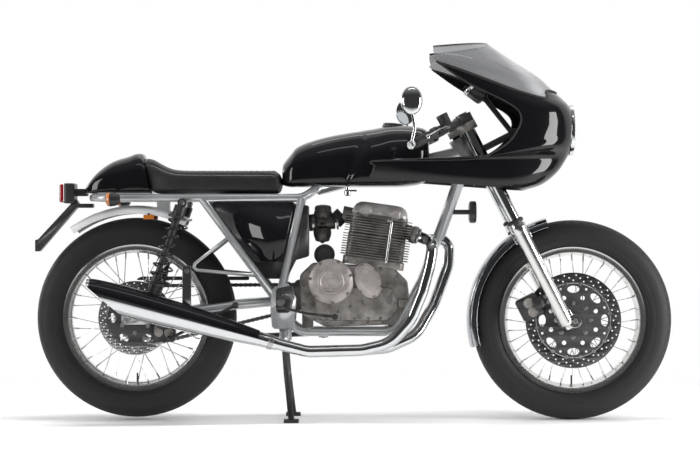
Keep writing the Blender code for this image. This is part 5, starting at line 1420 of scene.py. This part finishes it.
def build_carburettor():
    start = lean(0.155, -0.1205)
    boot = rod(start, Vector((-0.062, 0, 0.6445)), 0.0255, 40, 0.001)
    hose = rod((-0.118, 0, 0.6425), (-0.1458, 0, 0.641), 0.0275, 40, 0.001)
    bands = [
        rod((-0.05, 0, 0.6455), (-0.057, 0, 0.645), 0.0268, 40, 0.0005),
        rod((-0.128, 0, 0.642), (-0.136, 0, 0.6415), 0.0288, 40, 0.0005)
    ]
    piece("intake_rubbers", [boot, hose], RUBBER)
    body = rod((-0.06, 0, 0.6445), (-0.12, 0, 0.6425), 0.024, 40, 0.003)
    bowl = turned(
        [
            (0, 0.579), (0.014, 0.579), (0.022, 0.582), (0.0285, 0.6), (0.0295, 0.612), (0.027, 0.624),
            (0, 0.626)
        ],
        48, matrix=shift(CARB_X, 0, 0)
    )
    dome = turned(
        [
            (0, 0.655), (0.026, 0.657), (0.0295, 0.664), (0.03, 0.676), (0.0278, 0.679), (0.0275, 0.69),
            (0.024, 0.697), (0.008, 0.7005), (0, 0.7005)
        ],
        48, matrix=shift(-0.1, 0, 0)
    )
    boss = rod((CARB_X, -0.03, 0.64), (CARB_X, -0.044, 0.64), 0.012, 32, 0.002)
    pulley = rod((CARB_X, 0.03, 0.64), (CARB_X, 0.044, 0.64), 0.017, 32, 0.002)
    shaft = rod((CARB_X, -0.044, 0.64), (CARB_X, 0.044, 0.64), 0.0045, 16)
    nut = bolt((CARB_X, 0, 0.5795), (0, 0, -1), 0.006, 0.004)
    screws = [
        bolt((CARB_X + x, y, 0.6785), (0, 0, 1), 0.0026, 0.002) for _, x, y in ring_of(4, 0.0262, 0.78)
    ]
    piece("carburettor_body", [body, bowl, dome, boss, pulley, shaft], CARB_ALLOY, "frame", ["carburettor"])
    piece("carburettor_clips", bands + [nut] + screws, BOLT_STEEL)


# Exhaust

MUFFLER_START = Vector((-0.246, -0.145, 0.254))
MUFFLER_END = Vector((-0.856, -0.218, 0.4274))
SLASH_AT = Vector((-0.808, -0.212, 0.4105))
SLASH_LEAN = radians(41)
# share of the length, radius
MUFFLER_ROWS = [
    (0, 0.0215), (0.05, 0.0222), (0.1, 0.024), (0.3, 0.035), (0.55, 0.0435), (0.78, 0.0465), (0.93, 0.043),
    (1, 0.037)
]


def muffler_profile(first, last, steps, outwards=0):
    length = (MUFFLER_END - MUFFLER_START).length
    rows = []
    for i in range(241):
        share, radius = between(MUFFLER_ROWS, i / 240)
        rows.append((radius + outwards, share * length))
    rows = [row for row in rows if first * length <= row[1] <= last * length]
    keep = max(1, len(rows) // steps)
    return rows[::keep] + ([rows[-1]] if (len(rows) - 1) % keep else [])


def build_exhaust():
    length = (MUFFLER_END - MUFFLER_START).length
    lay = aimed(MUFFLER_START, MUFFLER_END)
    slash = Vector((-sin(SLASH_LEAN), 0, -cos(SLASH_LEAN)))
    outer = muffler_profile(0, 1, 48)
    inner = [(radius - 0.003, height) for radius, height in muffler_profile(0.84, 1, 8)]
    can = turned(outer + inner[::-1] + [(0, 0.84 * length)], 72, matrix=lay)
    cut(can, SLASH_AT, slash)
    bmesh.ops.bridge_loops(can, edges=[e for e in can.edges if e.is_boundary])
    closed_up(can)
    lug = block((-0.5475, -0.164, 0.35), (-0.5205, -0.123, 0.504), 0.003)
    piece("muffler_can", [can, lug], CHROME, "frame", ["muffler"], sharp=40)

    # A black shell over the can's upper half: a dark sheet standing in for the dark reflection on the polished
    # can's top.
    guard = bmesh.new()
    points = [
        guard.verts.new((radius, 0, height)) for radius, height in muffler_profile(0.1, 0.985, 36, 0.0016)
    ]
    edges = [guard.edges.new(pair) for pair in zip(points, points[1:])]
    bmesh.ops.spin(
        guard, geom=points + edges, cent=(0, 0, 0), axis=(0, 0, 1), angle=radians(150), steps=30,
        use_merge=False
    )
    bmesh.ops.remove_doubles(guard, verts=guard.verts, dist=1e-6)
    # Turned so that it starts a little above the side's middle and ends past the top
    up = lay.to_3x3().inverted() @ Vector((0, -1, 0.1))
    start = atan2(up.y, up.x)
    side = lay.to_3x3().inverted() @ Vector((0, 0, 1))
    way = 1 if sin(atan2(side.y, side.x) - start) > 0 else -1
    turn = start if way > 0 else start - radians(150)
    bmesh.ops.rotate(guard, cent=(0, 0, 0), matrix=Matrix.Rotation(turn, 3, "Z"), verts=guard.verts)
    bmesh.ops.solidify(guard, geom=guard.faces, thickness=0.0012)
    cut_off(moved(guard, lay), SLASH_AT, slash)
    piece("muffler_dark_reflection_shell", guard, BLACK, sharp=40)

    out = (lean(0.118, 0.128) - lean(0.135, 0.06)).normalized()
    right_port, left_port = lean(0.118, 0.128, -0.052), lean(0.118, 0.128, 0.052)
    right = [
        right_port + out * 0.0008, right_port + out * 0.035 + Vector((0, -0.02, 0)), (0.255, -0.128, 0.572),
        (0.242, -0.134, 0.5), (0.22, -0.134, 0.42), (0.183, -0.134, 0.328), (0.117, -0.134, 0.254),
        (0.027, -0.138, 0.233), (-0.148, -0.143, 0.2286), MUFFLER_START
    ]
    left = [
        left_port + out * 0.0008, left_port + out * 0.035 + Vector((0, 0.02, 0)), (0.315, 0.075, 0.588),
        (0.312, 0.062, 0.5), (0.262, 0.03, 0.37), (0.205, -0.01, 0.275), (0.11, -0.055, 0.236),
        (0, -0.1, 0.229), (-0.08, -0.13, 0.2286)
    ]
    piece("header_pipe_right", pipe(right, 0.12, 0.0188, 32, 14), CHROME, "frame", ["header_right"])
    piece("header_pipe_left", pipe(left, 0.12, 0.0188, 32, 14), CHROME, "frame", ["header_left"])
    collars = []
    for port in (right_port, left_port):
        collars.append(rod(port + out * 0.0006, port + out * 0.008, 0.0265, 40, 0.002))
    clamp = MUFFLER_START + (MUFFLER_END - MUFFLER_START).normalized() * 0.014
    collars.append(rod(clamp, clamp + (MUFFLER_END - MUFFLER_START).normalized() * 0.016, 0.024, 40, 0.001))
    piece("exhaust_collars", collars, BOLT_STEEL)


# Chassis parts


def part_turned(outline, low, high, matrix, steps=48):
    """A closed (radius, y) outline turned part of the way about Y, from one angle above +X to another."""
    bm = bmesh.new()
    points = [bm.verts.new((radius, y, 0)) for radius, y in outline]
    edges = [bm.edges.new(pair) for pair in zip(points, points[1:] + points[:1])]
    bmesh.ops.rotate(bm, cent=(0, 0, 0), matrix=Matrix.Rotation(-low, 3, "Y"), verts=points)
    bmesh.ops.spin(
        bm, geom=points + edges, cent=(0, 0, 0), axis=(0, 1, 0), angle=low - high, steps=steps,
        use_merge=False
    )
    return moved(closed_up(bm, fill=True), matrix)


def mudguard(radius, half, drop, low, high, matrix):
    """A bowed mudguard with a rolled bead along each edge."""
    low, high, wall = radians(low), radians(high), 0.0028
    arc = [superellipse(pi * i / 28, 3.2) for i in range(29)]
    outer = [(radius - drop + drop * up, half * across) for across, up in arc]
    inner = [(radius - drop + (drop - wall) * up, (half - wall) * across) for across, up in arc]
    parts = [part_turned(outer + inner[::-1], low, high, matrix)]
    for side in (-1, 1):
        parts.append(
            part_turned(
                circle(radius - drop + 0.0004, side * (half - 0.0022), 0.0022, 10), low, high, matrix
            )
        )
    return parts


def build_mudguards():
    hub = shift(FORK_OFFSET + AXLE_LEAD, 0, 0)
    guard = mudguard(WHEEL_RADIUS + 0.018, 0.062, 0.03, 78, 168, hub)
    mounts = [block((FORK_OFFSET - 0.03, -0.073, 0.3), (FORK_OFFSET + 0.03, -0.0575, 0.345), 0.004, 3)]
    screws = [bolt((FORK_OFFSET + x, -0.0718, 0.322), (0, -1, 0), 0.0034) for x in (-0.024, 0.024)]
    mounts = [shape for mount in mounts for shape in both(mount)]
    screws = [shape for screw in screws for shape in both(screw)]
    piece(
        "front_mudguard", in_steering(joined(guard + mounts)), DARKENED_GUARD_CHROME, "steering", ["front_fender"],
        sharp=45
    )
    piece("front_mudguard_screws", in_steering(joined(screws)), BOLT_STEEL, "steering")

    guard = mudguard(0.365, 0.072, 0.026, 62, 126, Matrix.Translation(REAR_AXLE))
    bracket = block((-0.64, -0.04, REAR_AXLE.z + 0.345), (-0.6, 0.04, 0.716), 0.003)
    piece("rear_mudguard", guard + [bracket], MUDGUARD_SILVER, "frame", ["rear_fender"], sharp=45)
    for side, name in SIDES:
        low, high = sorted((side * 0.07, side * 0.0735))
        clip = block((-0.667, low, 0.66), (-0.659, high, 0.672), 0.0005)
        piece(f"reflector_clip_{name}", clip, SATIN)
        low, high = sorted((side * 0.0735, side * 0.079))
        piece(f"side_reflector_{name}", block((-0.68, low, 0.652), (-0.646, high, 0.667), 0.0022, 3), AMBER)


# x and z of the shocks' eyes
SHOCK_TOP = (-0.55, 0.705)
SHOCK_FOOT = (-0.655, 0.402)


def build_shocks():
    for side, name in SIDES:
        top, foot = (Vector((x, side * 0.132, z)) for x, z in (SHOCK_TOP, SHOCK_FOOT))
        length = (foot - top).length
        body = turned(
            [
                (0, 0.01), (0.0185, 0.01), (0.02, 0.0125), (0.02, 0.044), (0.0285, 0.0452), (0.0298, 0.047),
                (0.0298, 0.0515), (0.0285, 0.0528), (0.015, 0.0532), (0.0125, 0.056), (0.0125, 0.15),
                (0.0095, 0.152), (0.0095, 0.235), (0.013, 0.237), (0.013, 0.268), (0.0285, 0.2694),
                (0.0298, 0.2706), (0.0298, 0.276), (0.0285, 0.2774), (0.014, 0.279), (0.013, 0.308),
                (0, 0.3085)
            ],
            48, matrix=aimed(top, foot)
        )
        eyes, bushes = [], []
        for spot in (top, foot):
            out = Vector((0, 1, 0))
            eyes.append(rod(spot - out * 0.011, spot + out * 0.011, 0.0145, 32, 0.001))
            bushes.append(rod(spot - out * 0.0118, spot + out * 0.0118, 0.0108, 28, 0.0005))
        piece(f"damper_{name}", [body] + eyes, SATIN, "frame", [f"shock_{name}"])
        piece(f"damper_bushes_{name}", bushes, RUBBER)
        along = (foot - top).normalized()
        first, last = top + along * (length * 0.165 + 0.0036), top + along * (length * 0.84 - 0.0036)
        piece(
            f"coil_{name}", helix(first, last, 0.0225, 0.0035, 7), SPRING_BLACK, "frame", [f"spring_{name}"]
        )


CHAIN_Y = 0.0745
CHAIN_PITCH = 0.0159
LINK_END = 0.0065
FRONT_SPROCKET = Vector((-0.15, 0, 0.402))
FRONT_PATH, REAR_PATH = 0.036, 0.1


def chain_spots():
    """Points a pitch apart round both sprockets, as (x, z)."""
    span = FRONT_SPROCKET - REAR_AXLE
    distance, tilt = hypot(span.x, span.z), atan2(span.z, span.x)
    spread = acos((REAR_PATH - FRONT_PATH) / distance)
    run = sqrt(distance**2 - (REAR_PATH - FRONT_PATH) ** 2)
    front_arc, rear_arc = 2 * spread * FRONT_PATH, (tau - 2 * spread) * REAR_PATH
    whole = front_arc + rear_arc + 2 * run
    count = round(whole / CHAIN_PITCH / 2) * 2
    spots = []
    for i in range(count):
        s = whole * i / count
        if s < front_arc:
            base, radius, angle, along = FRONT_SPROCKET, FRONT_PATH, tilt + spread - s / FRONT_PATH, 0
        elif s < front_arc + run:
            base, radius, angle, along = FRONT_SPROCKET, FRONT_PATH, tilt - spread, s - front_arc
        elif s < front_arc + run + rear_arc:
            base, radius, along = REAR_AXLE, REAR_PATH, 0
            angle = tilt - spread - (s - front_arc - run) / REAR_PATH
        else:
            base, radius, angle, along = REAR_AXLE, REAR_PATH, tilt + spread, s - front_arc - run - rear_arc
        out = Vector((cos(angle), sin(angle)))
        spots.append(Vector((base.x, base.z)) + out * radius + Vector((out.y, -out.x)) * along)
    return spots


def build_chain():
    """Inner and outer links in turn, on rollers a pitch apart, with the guard above them."""
    spots = chain_spots()
    angles = [pi / 2 + pi * i / 5 for i in range(6)]
    outline = [(LINK_END * cos(angle), LINK_END * sin(angle)) for angle in angles]
    outline += [(CHAIN_PITCH / 2, -0.0048)]
    outline += [(CHAIN_PITCH - x, -y) for x, y in outline[:6]]
    outline += [(CHAIN_PITCH / 2, 0.0048)]
    side_link = plate([outline], 0.0015)
    parts = []
    for i, spot in enumerate(spots):
        along = spots[(i + 1) % len(spots)] - spot
        turn = Matrix.Rotation(-atan2(along.y, along.x), 4, "Y") @ UPRIGHT
        gap = 0.0044 if i % 2 else 0.0061
        for side in (-1, 1):
            parts.append(moved(side_link.copy(), shift(spot.x, CHAIN_Y + side * gap, spot.y) @ turn))
        parts.append(rod((spot.x, CHAIN_Y - 0.0068, spot.y), (spot.x, CHAIN_Y + 0.0068, spot.y), 0.004, 8))
    side_link.free()
    piece("chain_links", parts, CHAIN_STEEL, "frame", ["drive_chain"])
    outline = [(-0.345, 0.452), (-0.345, 0.464), (-0.7, 0.464), (-0.725, 0.452)]
    guard = side_plate([rounded(outline, 0.0045, 4)], 0.066, 0.0985, 0.0015)
    stem = block((-0.56, 0.0925, 0.388), (-0.545, 0.0975, 0.455), 0.001)
    piece("chain_cover", [guard, stem], SATIN, "frame", ["chain_guard"])


def build_bars():
    """Clip-on bars: grips, levers, switches and the front brake's reservoir, in the fork's frame."""

    def back(distance, x=0, y=0, z=0):
        """A point on the bar that far from its tip, and then moved."""
        return BAR_TIP - BAR_WAY * distance + Vector((x, y, z))

    ring = [
        (0.0207, 0.7264), (0.0302, 0.7264), (0.0309, 0.7272), (0.0309, 0.7534), (0.0302, 0.7542),
        (0.0207, 0.7542)
    ]
    metal = [
        turned(ring, 48, closed=True, matrix=shift(FORK_OFFSET, -FORK_SPREAD, 0)),
        rod(BAR_START - BAR_WAY * 0.004, back(0.0006), 0.0109, 28, 0.001),
        rod(BAR_START - BAR_WAY * 0.002, BAR_START + BAR_WAY * 0.028, 0.0138, 28, 0.002),
        rod(back(0.161), back(0.134), 0.0178, 32, 0.003),
        rod(back(0.148), back(0.148, 0.034, 0.004, 0.004), 0.0078, 24, 0.002),
        block(
            (-0.012, -0.01, -0.006), (0.012, 0.01, 0.006), 0.003, 3,
            Matrix.Translation(back(0.148, -0.012, 0.006, 0.014))
        )
    ]
    profile = [(0.0112, 0)]
    for i in range(22):
        at = 0.004 + 0.005 * i
        profile += [(0.0152, at), (0.0162, at + 0.0008), (0.0162, at + 0.003), (0.0152, at + 0.0038)]
    profile += [(0.0165, 0.116), (0.0165, 0.1205), (0.0112, 0.121)]
    grip = turned(profile, 40, closed=True, matrix=aimed(back(0.004), back(0.125)))
    buttons = rod(back(0.146, -0.024, 0, 0.012), back(0.146, -0.027, 0, 0.014), 0.0035, 16, 0.0005)
    knuckle, end = back(0.148, 0.034, 0.004, 0.004), back(0, 0.052, 0.01)
    middle = knuckle.lerp(end, 0.25) + Vector((-0.006, 0, 0))
    lever = [
        pipe([knuckle, middle, end], 0.05, 0.0054, 16, 8, 0.0042),
        ball(end, (0.0068, 0.0068, 0.0068), 20, 12),
        rod(knuckle - Vector((0, 0, 0.008)), knuckle + Vector((0, 0, 0.007)), 0.008, 28, 0.001)
    ]
    pinch = bolt((FORK_OFFSET - 0.012, -FORK_SPREAD - 0.0295, BAR_START.z), (-0.3, -1, 0), 0.0034)
    cup_foot = Matrix.Translation(back(0.165, 0.022))
    cup = turned(
        [(0, 0.001), (0.017, 0.001), (0.0185, 0.003), (0.0185, 0.033), (0, 0.033)], 40, matrix=cup_foot
    )
    edge = [(0, 0.033), (0.0188, 0.033), (0.019, 0.035), (0.019, 0.042), (0.0175, 0.0446), (0, 0.0448)]
    lid = turned(edge, 40, matrix=cup_foot)
    for side, name in SIDES:
        bar = on_side(metal, side) + ([lid] if name == "right" else [])
        for part, shapes, finish, replaced, slot, sharp in (
            ("clip_on", bar, SATIN, [f"handlebar_{name}"], "satin_black", 35),
            ("grip", on_side([grip, buttons], side), RUBBER, (), "satin_black", 60),
            ("lever", on_side(lever, side), POLISHED, (), "steel", 35),
            ("clip_on_bolt", on_side([pinch], side), BOLT_STEEL, (), "steel", 35)
        ):
            piece(f"{part}_{name}", in_steering(joined(shapes)), finish, "steering", replaced, sharp)
    piece("brake_fluid_cup", in_steering(cup), SATIN, "steering")


def build_mirrors():
    """Bar-end mirrors: an oval back cut flat, its rim and its glass, on a bent stem."""
    out = (STEERING.to_3x3() @ BAR_WAY).normalized()
    end = STEERING @ BAR_TIP
    base = end + out * 0.0006
    head = end + Vector((-0.006, -0.022, 0.135))
    corners = [base + out * 0.012, end + Vector((0.005, -0.012, 0.05)), head - Vector((0, 0, 0.02))]
    profile = [(0, 0), (0.0125, 0), (0.013, 0.002), (0.013, 0.016), (0.01, 0.0195), (0, 0.02)]
    shell = cut_off(
        ball(head, (0.034, 0.02, 0.045), 48, 32), head + Vector((0, 0.0075, 0)), Vector((0, 1, 0))
    )
    back = [shell, pipe(corners, 0.03, 0.0048, 20, 8), turned(profile, 32, matrix=aimed(base, base + out))]
    oval = upright(head + Vector((0, 0.008, 0))) @ Matrix.Diagonal((0.0318, 0.042, 1, 1))
    rim = turned([(0.94, -0.0012), (1, -0.0012), (1, 0.0016), (0.94, 0.0016)], 64, closed=True, matrix=oval)
    glass = turned([(0, -0.0004), (0.945, -0.0004), (0.945, 0.0004), (0, 0.0004)], 64, matrix=oval)
    for side, name in SIDES:
        piece(f"mirror_back_{name}", on_side(back, side), CHROME, "steering", [f"mirror_{name}"])
        piece(f"mirror_rim_{name}", on_side([rim], side), RUBBER, "steering")
        piece(f"mirror_glass_{name}", on_side([glass], side), MIRROR_GLASS, "steering")


def build_gauges():
    """Two round gauges on their stay, each with ticks, a needle and a bezel."""

    def at(height, forward, y=0):
        return STEERING @ Vector((forward, y, height))

    cases, bezels, dials, marks, glasses = [], [], [], [], []
    for side in (-1, 1):
        lay = aimed(at(0.778, 0.15, side * 0.044), at(0.836, 0.122, side * 0.044))
        cases.append(
            turned(
                [(0, 0), (0.028, 0), (0.0355, 0.005), (0.037, 0.018), (0.037, 0.052), (0, 0.052)], 56,
                matrix=lay
            )
        )
        rim = [
            (0.034, 0.0515), (0.0385, 0.0515), (0.039, 0.053), (0.039, 0.0625), (0.0375, 0.0643),
            (0.0345, 0.064), (0.0335, 0.06)
        ]
        bezels.append(turned(rim, 56, closed=True, matrix=lay))
        dials.append(turned([(0, 0.054), (0.0338, 0.054), (0.0338, 0.056), (0, 0.056)], 56, matrix=lay))
        for i in range(25):
            angle = radians(-130 + 260 * i / 24)
            long = 0.0055 if i % 3 == 0 else 0.003
            turn = lay @ Matrix.Rotation(angle, 4, "Z")
            marks.append(
                block(
                    (-0.0004 - 0.0002 * (i % 3 == 0), 0.031 - long, 0.056),
                    (0.0004 + 0.0002 * (i % 3 == 0), 0.031, 0.0564), 0, 1, turn
                )
            )
        needle = lay @ Matrix.Rotation(radians(-118), 4, "Z")
        marks.append(block((-0.0009, -0.006, 0.0575), (0.0009, 0.027, 0.0582), 0.0002, 1, needle))
        bezels.append(turned([(0, 0.057), (0.0042, 0.057), (0.0038, 0.0592), (0, 0.0595)], 24, matrix=lay))
        glasses.append(
            turned([(0, 0.0612), (0.0336, 0.0612), (0.0336, 0.0622), (0, 0.0626)], 48, matrix=lay)
        )
    neck = at(0.628, 0.17)
    stays = [
        rod(at(0.628, 0.0293), neck, 0.011, 24, 0.001), rod(neck, (0.6, 0, 0.95), 0.011, 24, 0.001),
        rod(neck, at(0.8, 0.135), 0.009, 24, 0.001),
        rod((0.56, -0.178, 0.952), (0.56, 0.178, 0.952), 0.008, 20, 0.001),
        rod(at(0.785, 0.15, -0.044), at(0.785, 0.15, 0.044), 0.01, 20, 0.001),
        block(neck - Vector((0.016, 0.014, 0.016)), neck + Vector((0.016, 0.014, 0.016)), 0.004, 3)
    ]
    piece("gauge_cases", cases + stays, SATIN, "frame", ["instruments"])
    piece("gauge_bezels", bezels, CHROME)
    piece("gauge_dials", dials, DIAL_BLACK)
    piece("gauge_marks", marks, DIAL_WHITE)
    piece("gauge_glasses", glasses, CLEAR_GLASS)


def build_tail():
    case = block((-0.94, -0.046, 0.704), (-0.907, 0.046, 0.77), 0.006, 4)
    neck = block((-0.915, -0.022, 0.728), (-0.868, 0.022, 0.752), 0.003)
    piece("tail_lamp_case", [case, neck], SATIN, "frame", ["tail_lamp"])
    piece("tail_lamp_lens", block((-0.9568, -0.0432, 0.707), (-0.9385, 0.0432, 0.767), 0.007, 4), RED)
    band = block((-0.9415, -0.0456, 0.7046), (-0.938, 0.0456, 0.7694), 0.0012)
    piece("tail_lamp_band", band, CHROME)
    for side, name in SIDES:
        lay = aimed((-0.792, side * 0.168, 0.716), (-0.745, side * 0.168, 0.716))
        lens = turned(
            [(0, 0.0002), (0.012, 0.0012), (0.0195, 0.0055), (0.0222, 0.011), (0.0222, 0.015), (0, 0.015)],
            40, matrix=lay
        )
        shell = turned(
            [
                (0, 0.014), (0.0225, 0.014), (0.0236, 0.015), (0.0232, 0.0185), (0.0205, 0.033),
                (0.017, 0.042), (0.01, 0.0462), (0, 0.047)
            ],
            40, matrix=lay
        )
        stalk = turned(
            [(0, 0)] + [(0.007 - 0.001 * (i % 2), 0.001 + 0.003 * i) for i in range(13)] + [(0, 0.04)], 24,
            matrix=aimed((-0.765, side * 0.114, 0.716), (-0.765, side * 0.16, 0.716))
        )
        piece(f"indicator_shell_{name}", [shell, stalk], SATIN, "frame", [f"rear_indicator_{name}"])
        piece(f"indicator_lens_{name}", lens, AMBER)


def build_small_parts():
    """Horn, footrest rubbers, caliper faces, pivot nuts and tyre valves."""
    dish = [
        (0, 0.376), (0.028, 0.376), (0.035, 0.379), (0.036, 0.383), (0.036, 0.395), (0.0345, 0.3985),
        (0.032, 0.4), (0.029, 0.399), (0.0275, 0.3965), (0.012, 0.3965), (0.0105, 0.399), (0, 0.3995)
    ]
    lay = shift(0, 0, 0.676) @ Matrix.Rotation(pi / 2, 4, "Y")
    stay = rod((0.304, 0, 0.676), (0.38, 0, 0.676), 0.008, 24, 0.001)
    piece("horn_body", [turned(dish, 56, matrix=lay), stay], SATIN, "frame", ["horn"])
    profile = [(0, 0)]
    for i in range(15):
        at = 0.0044 * i
        profile += [
            (0.0108, at + 0.0004), (0.0124, at + 0.0012), (0.0124, at + 0.0032), (0.0108, at + 0.004)
        ]
    profile.append((0, 0.0664))
    rubbers = []
    for side, _ in SIDES:
        peg = aimed((-0.232, side * 0.1995, 0.412), (-0.232, side * 0.13, 0.412))
        rubbers.append(turned(profile, 28, matrix=peg))
        rubbers.append(rod((-0.06, side * 0.1645, 0.34), (-0.06, side * 0.135, 0.34), 0.0098, 24, 0.0015))
    piece("footrest_rubbers", rubbers, RUBBER, sharp=60)
    caps = [rod((-0.041, -0.0955, z), (-0.041, -0.0985, z), 0.0165, 36, 0.001) for z in (0.086, 0.118)]
    screws = [bolt((0.016, -0.1038, z), (0, -1, 0), 0.0042) for z in (0.0925, 0.1135)]
    piece("front_caliper_caps", in_steering(joined(caps)), CASE_ALLOY, "steering")
    piece("front_caliper_screws", in_steering(joined(screws)), BOLT_STEEL, "steering")
    places = [REAR_AXLE.x + 0.079, REAR_AXLE.x + 0.111]
    caps = [rod((x, -0.0995, 0.2885), (x, -0.103, 0.2885), 0.0145, 36, 0.001) for x in places]
    piece("rear_caliper_caps", caps, CASE_ALLOY)
    bolts = [bolt((-0.534, -0.1635, 0.487), (0, -1, 0), 0.005)]
    for side, _ in SIDES:
        # x, distance out, z, and the head's radius, height and corners
        for x, y, z, *head in (
            (-0.235, 0.1195, 0.385, 0.0085, 0.006), (-0.15, 0.108, 0.3, 0.005),
            (SHOCK_TOP[0], 0.144, SHOCK_TOP[1], 0.0068, 0.005, 12),
            (SHOCK_FOOT[0], 0.144, SHOCK_FOOT[1], 0.0068, 0.005, 12), (-0.7066, 0.1125, 0.333, 0.01, 0.008)
        ):
            bolts.append(bolt((x, side * y, z), (0, side, 0), *head))
    piece("frame_bolts", bolts, BOLT_STEEL)
    for centre, body in ((FRONT_AXLE, "front_wheel"), (REAR_AXLE, "rear_wheel")):
        valve = rod(
            centre + Vector((0, 0.004, -0.213)), centre + Vector((0, 0.004, -0.182)), 0.0028, 14, 0.0006
        )
        piece(f"{body}_valve", valve, RUBBER, body)


def smooth_nodes():
    """CAD shapes that are right as they are, with their facets shaded round."""
    for node, finish in (
        ("frame", SILVER), ("swingarm", SILVER), ("lower_yoke", SATIN), ("top_yoke", CASE_ALLOY),
        ("front_caliper", SATIN), ("rear_caliper", SATIN), ("centre_stand", SATIN), ("side_stand", SATIN),
        ("footrest_right", SATIN), ("footrest_left", SATIN), ("airbox", SATIN), ("plate_holder", SATIN),
        ("rear_axle", BOLT_STEEL)
    ):
        smooth_node(node, finish)


def build_room():
    """A white backdrop. Diffuse light is even, and gloss sees a dim room with the backdrop in it."""
    world = bpy.data.worlds.new("studio")
    bpy.context.scene.world = world
    world.use_nodes = True
    tree = world.node_tree
    tree.nodes.clear()

    def node(kind, inputs, **settings):
        made = tree.nodes.new(kind)
        for key, value in settings.items():
            setattr(made, key, value)
        for key, value in inputs.items():
            if isinstance(value, bpy.types.NodeSocket):
                tree.links.new(value, made.inputs[key])
            else:
                made.inputs[key].default_value = value
        return made

    path = node("ShaderNodeLightPath", {})
    split = node("ShaderNodeSeparateXYZ", {0: node("ShaderNodeTexCoord", {}).outputs["Generated"]})
    seen = node(
        "ShaderNodeMath", {0: path.outputs["Is Camera Ray"], 1: path.outputs["Is Transmission Ray"]},
        operation="MAXIMUM"
    )
    # The direction decides: towards the backdrop it is white, elsewhere dim with a paler ceiling
    ahead = {"Value": split.outputs["Y"], 1: 0.1, 2: 0.3, 3: 0, 4: 1}
    backdrop = node("ShaderNodeMapRange", ahead, interpolation_type="SMOOTHSTEP")
    above = {"Value": split.outputs["Z"], 1: 0.35, 2: 0.95, 3: 0.05, 4: 0.3}
    ceiling = node("ShaderNodeMapRange", above, interpolation_type="SMOOTHSTEP")
    room = node("ShaderNodeMath", {0: backdrop.outputs[0], 1: ceiling.outputs[0]}, operation="MAXIMUM")
    even = node("ShaderNodeMapRange", {"Value": split.outputs["Z"], 1: -0.2, 2: 0.9, 3: 0.24, 4: 0.4})
    level = node(
        "ShaderNodeMix", {0: path.outputs["Is Glossy Ray"], 2: even.outputs[0], 3: room.outputs[0]},
        data_type="FLOAT"
    )
    light = node("ShaderNodeBackground", {"Color": (1, 1, 1, 1), "Strength": level.outputs[0]})
    shown = node("ShaderNodeBackground", {"Color": (1, 1, 1, 1), "Strength": 1})
    mixed = node("ShaderNodeMixShader", {0: seen.outputs[0], 1: light.outputs[0], 2: shown.outputs[0]})
    node("ShaderNodeOutputWorld", {"Surface": mixed.outputs[0]})


def build_stage():
    """A pale floor that fades into a white surround, soft boxes, and the camera."""
    bm = bmesh.new()
    bmesh.ops.create_circle(bm, cap_ends=True, segments=96, radius=7)
    mesh = bpy.data.meshes.new("studio_floor")
    bm.to_mesh(mesh)
    bm.free()
    ground = bpy.data.objects.new("studio_floor", mesh)
    bpy.context.scene.collection.objects.link(ground)
    floor = Finish("floor_white", (0.8, 0.8, 0.8), 0.9)
    x, y, _ = floor.axes()
    fade = (x * x * 0.55 + y * y).math("SQRT").above(1.6, 1.2)
    clear = floor.node("ShaderNodeBsdfTransparent", {}, [])
    mix = floor.node("ShaderNodeMixShader", {}, [fade, floor.shader.outputs[0], clear.outputs[0]])
    floor.tree.links.new(mix.outputs[0], floor.tree.nodes["Material Output"].inputs["Surface"])
    mesh.materials.append(floor.material)

    build_room()
    # name, place, target, width, height, power, whether gloss shows it
    for name, place, target, wide, high, power, shown in (
        ("top_box", (0, -0.1, 3.2), (0, 0, 0.5), 1.8, 0.6, 90, False),
        ("side_box", (0.6, -4.4, 2.2), (0, 0, 0.6), 3, 1.6, 90, False),
        ("left_box", (0.4, 3.6, 2.4), (0, 0, 0.7), 3, 1.8, 60, False),
        ("nose_strip", (2.15, -0.72, 0.74), (0.6, -0.1, 0.9), 0.62, 1.44, 34, True),
        ("tail_strip", (-2.5, -1.3, 0.85), (-0.6, -0.1, 0.75), 0.7, 1.3, 22, True),
        ("tail_strip_left", (-3.2, 2.2, 1.3), (-0.4, 0.1, 0.75), 0.6, 1.3, 18, True),
        ("overhead_strip", (0.3, -1.5, 3.6), (0, 0, 0.8), 2.6, 0.3, 7, True),
        ("overhead_strip_left", (0.3, 1.7, 3.5), (0, 0, 0.8), 2.6, 0.3, 7, True)
    ):
        lamp = bpy.data.lights.new(name, "AREA")
        lamp.shape = "RECTANGLE"
        lamp.size, lamp.size_y, lamp.energy = wide, high, power
        holder = bpy.data.objects.new(name, lamp)
        bpy.context.scene.collection.objects.link(holder)
        holder.matrix_world = aimed(place, Vector(place) * 2 - Vector(target))
        holder.visible_glossy = shown

    camera = bpy.data.cameras.new("camera")
    distance, centre_x, centre_z, width = 7, -0.012, 0.634, 2.254
    camera.lens = camera.sensor_width * (distance - 0.1) / width
    holder = bpy.data.objects.new("camera", camera)
    bpy.context.scene.collection.objects.link(holder)
    holder.location = (centre_x, -distance, centre_z)
    holder.rotation_euler = (pi / 2, 0, 0)
    camera.clip_end = 60
    bpy.context.scene.camera = holder
    bpy.context.scene.view_settings.view_transform = "Standard"


carry_over()
build_wheels()
build_discs()
build_sprocket()
build_fork()
build_tank()
build_fairing()
build_headlight()
build_cowl()
build_seat()
build_side_covers()
build_crankcase()
build_cylinder()
build_carburettor()
build_exhaust()
build_mudguards()
build_shocks()
build_chain()
build_bars()
build_mirrors()
build_gauges()
build_tail()
build_small_parts()
smooth_nodes()
build_stage()
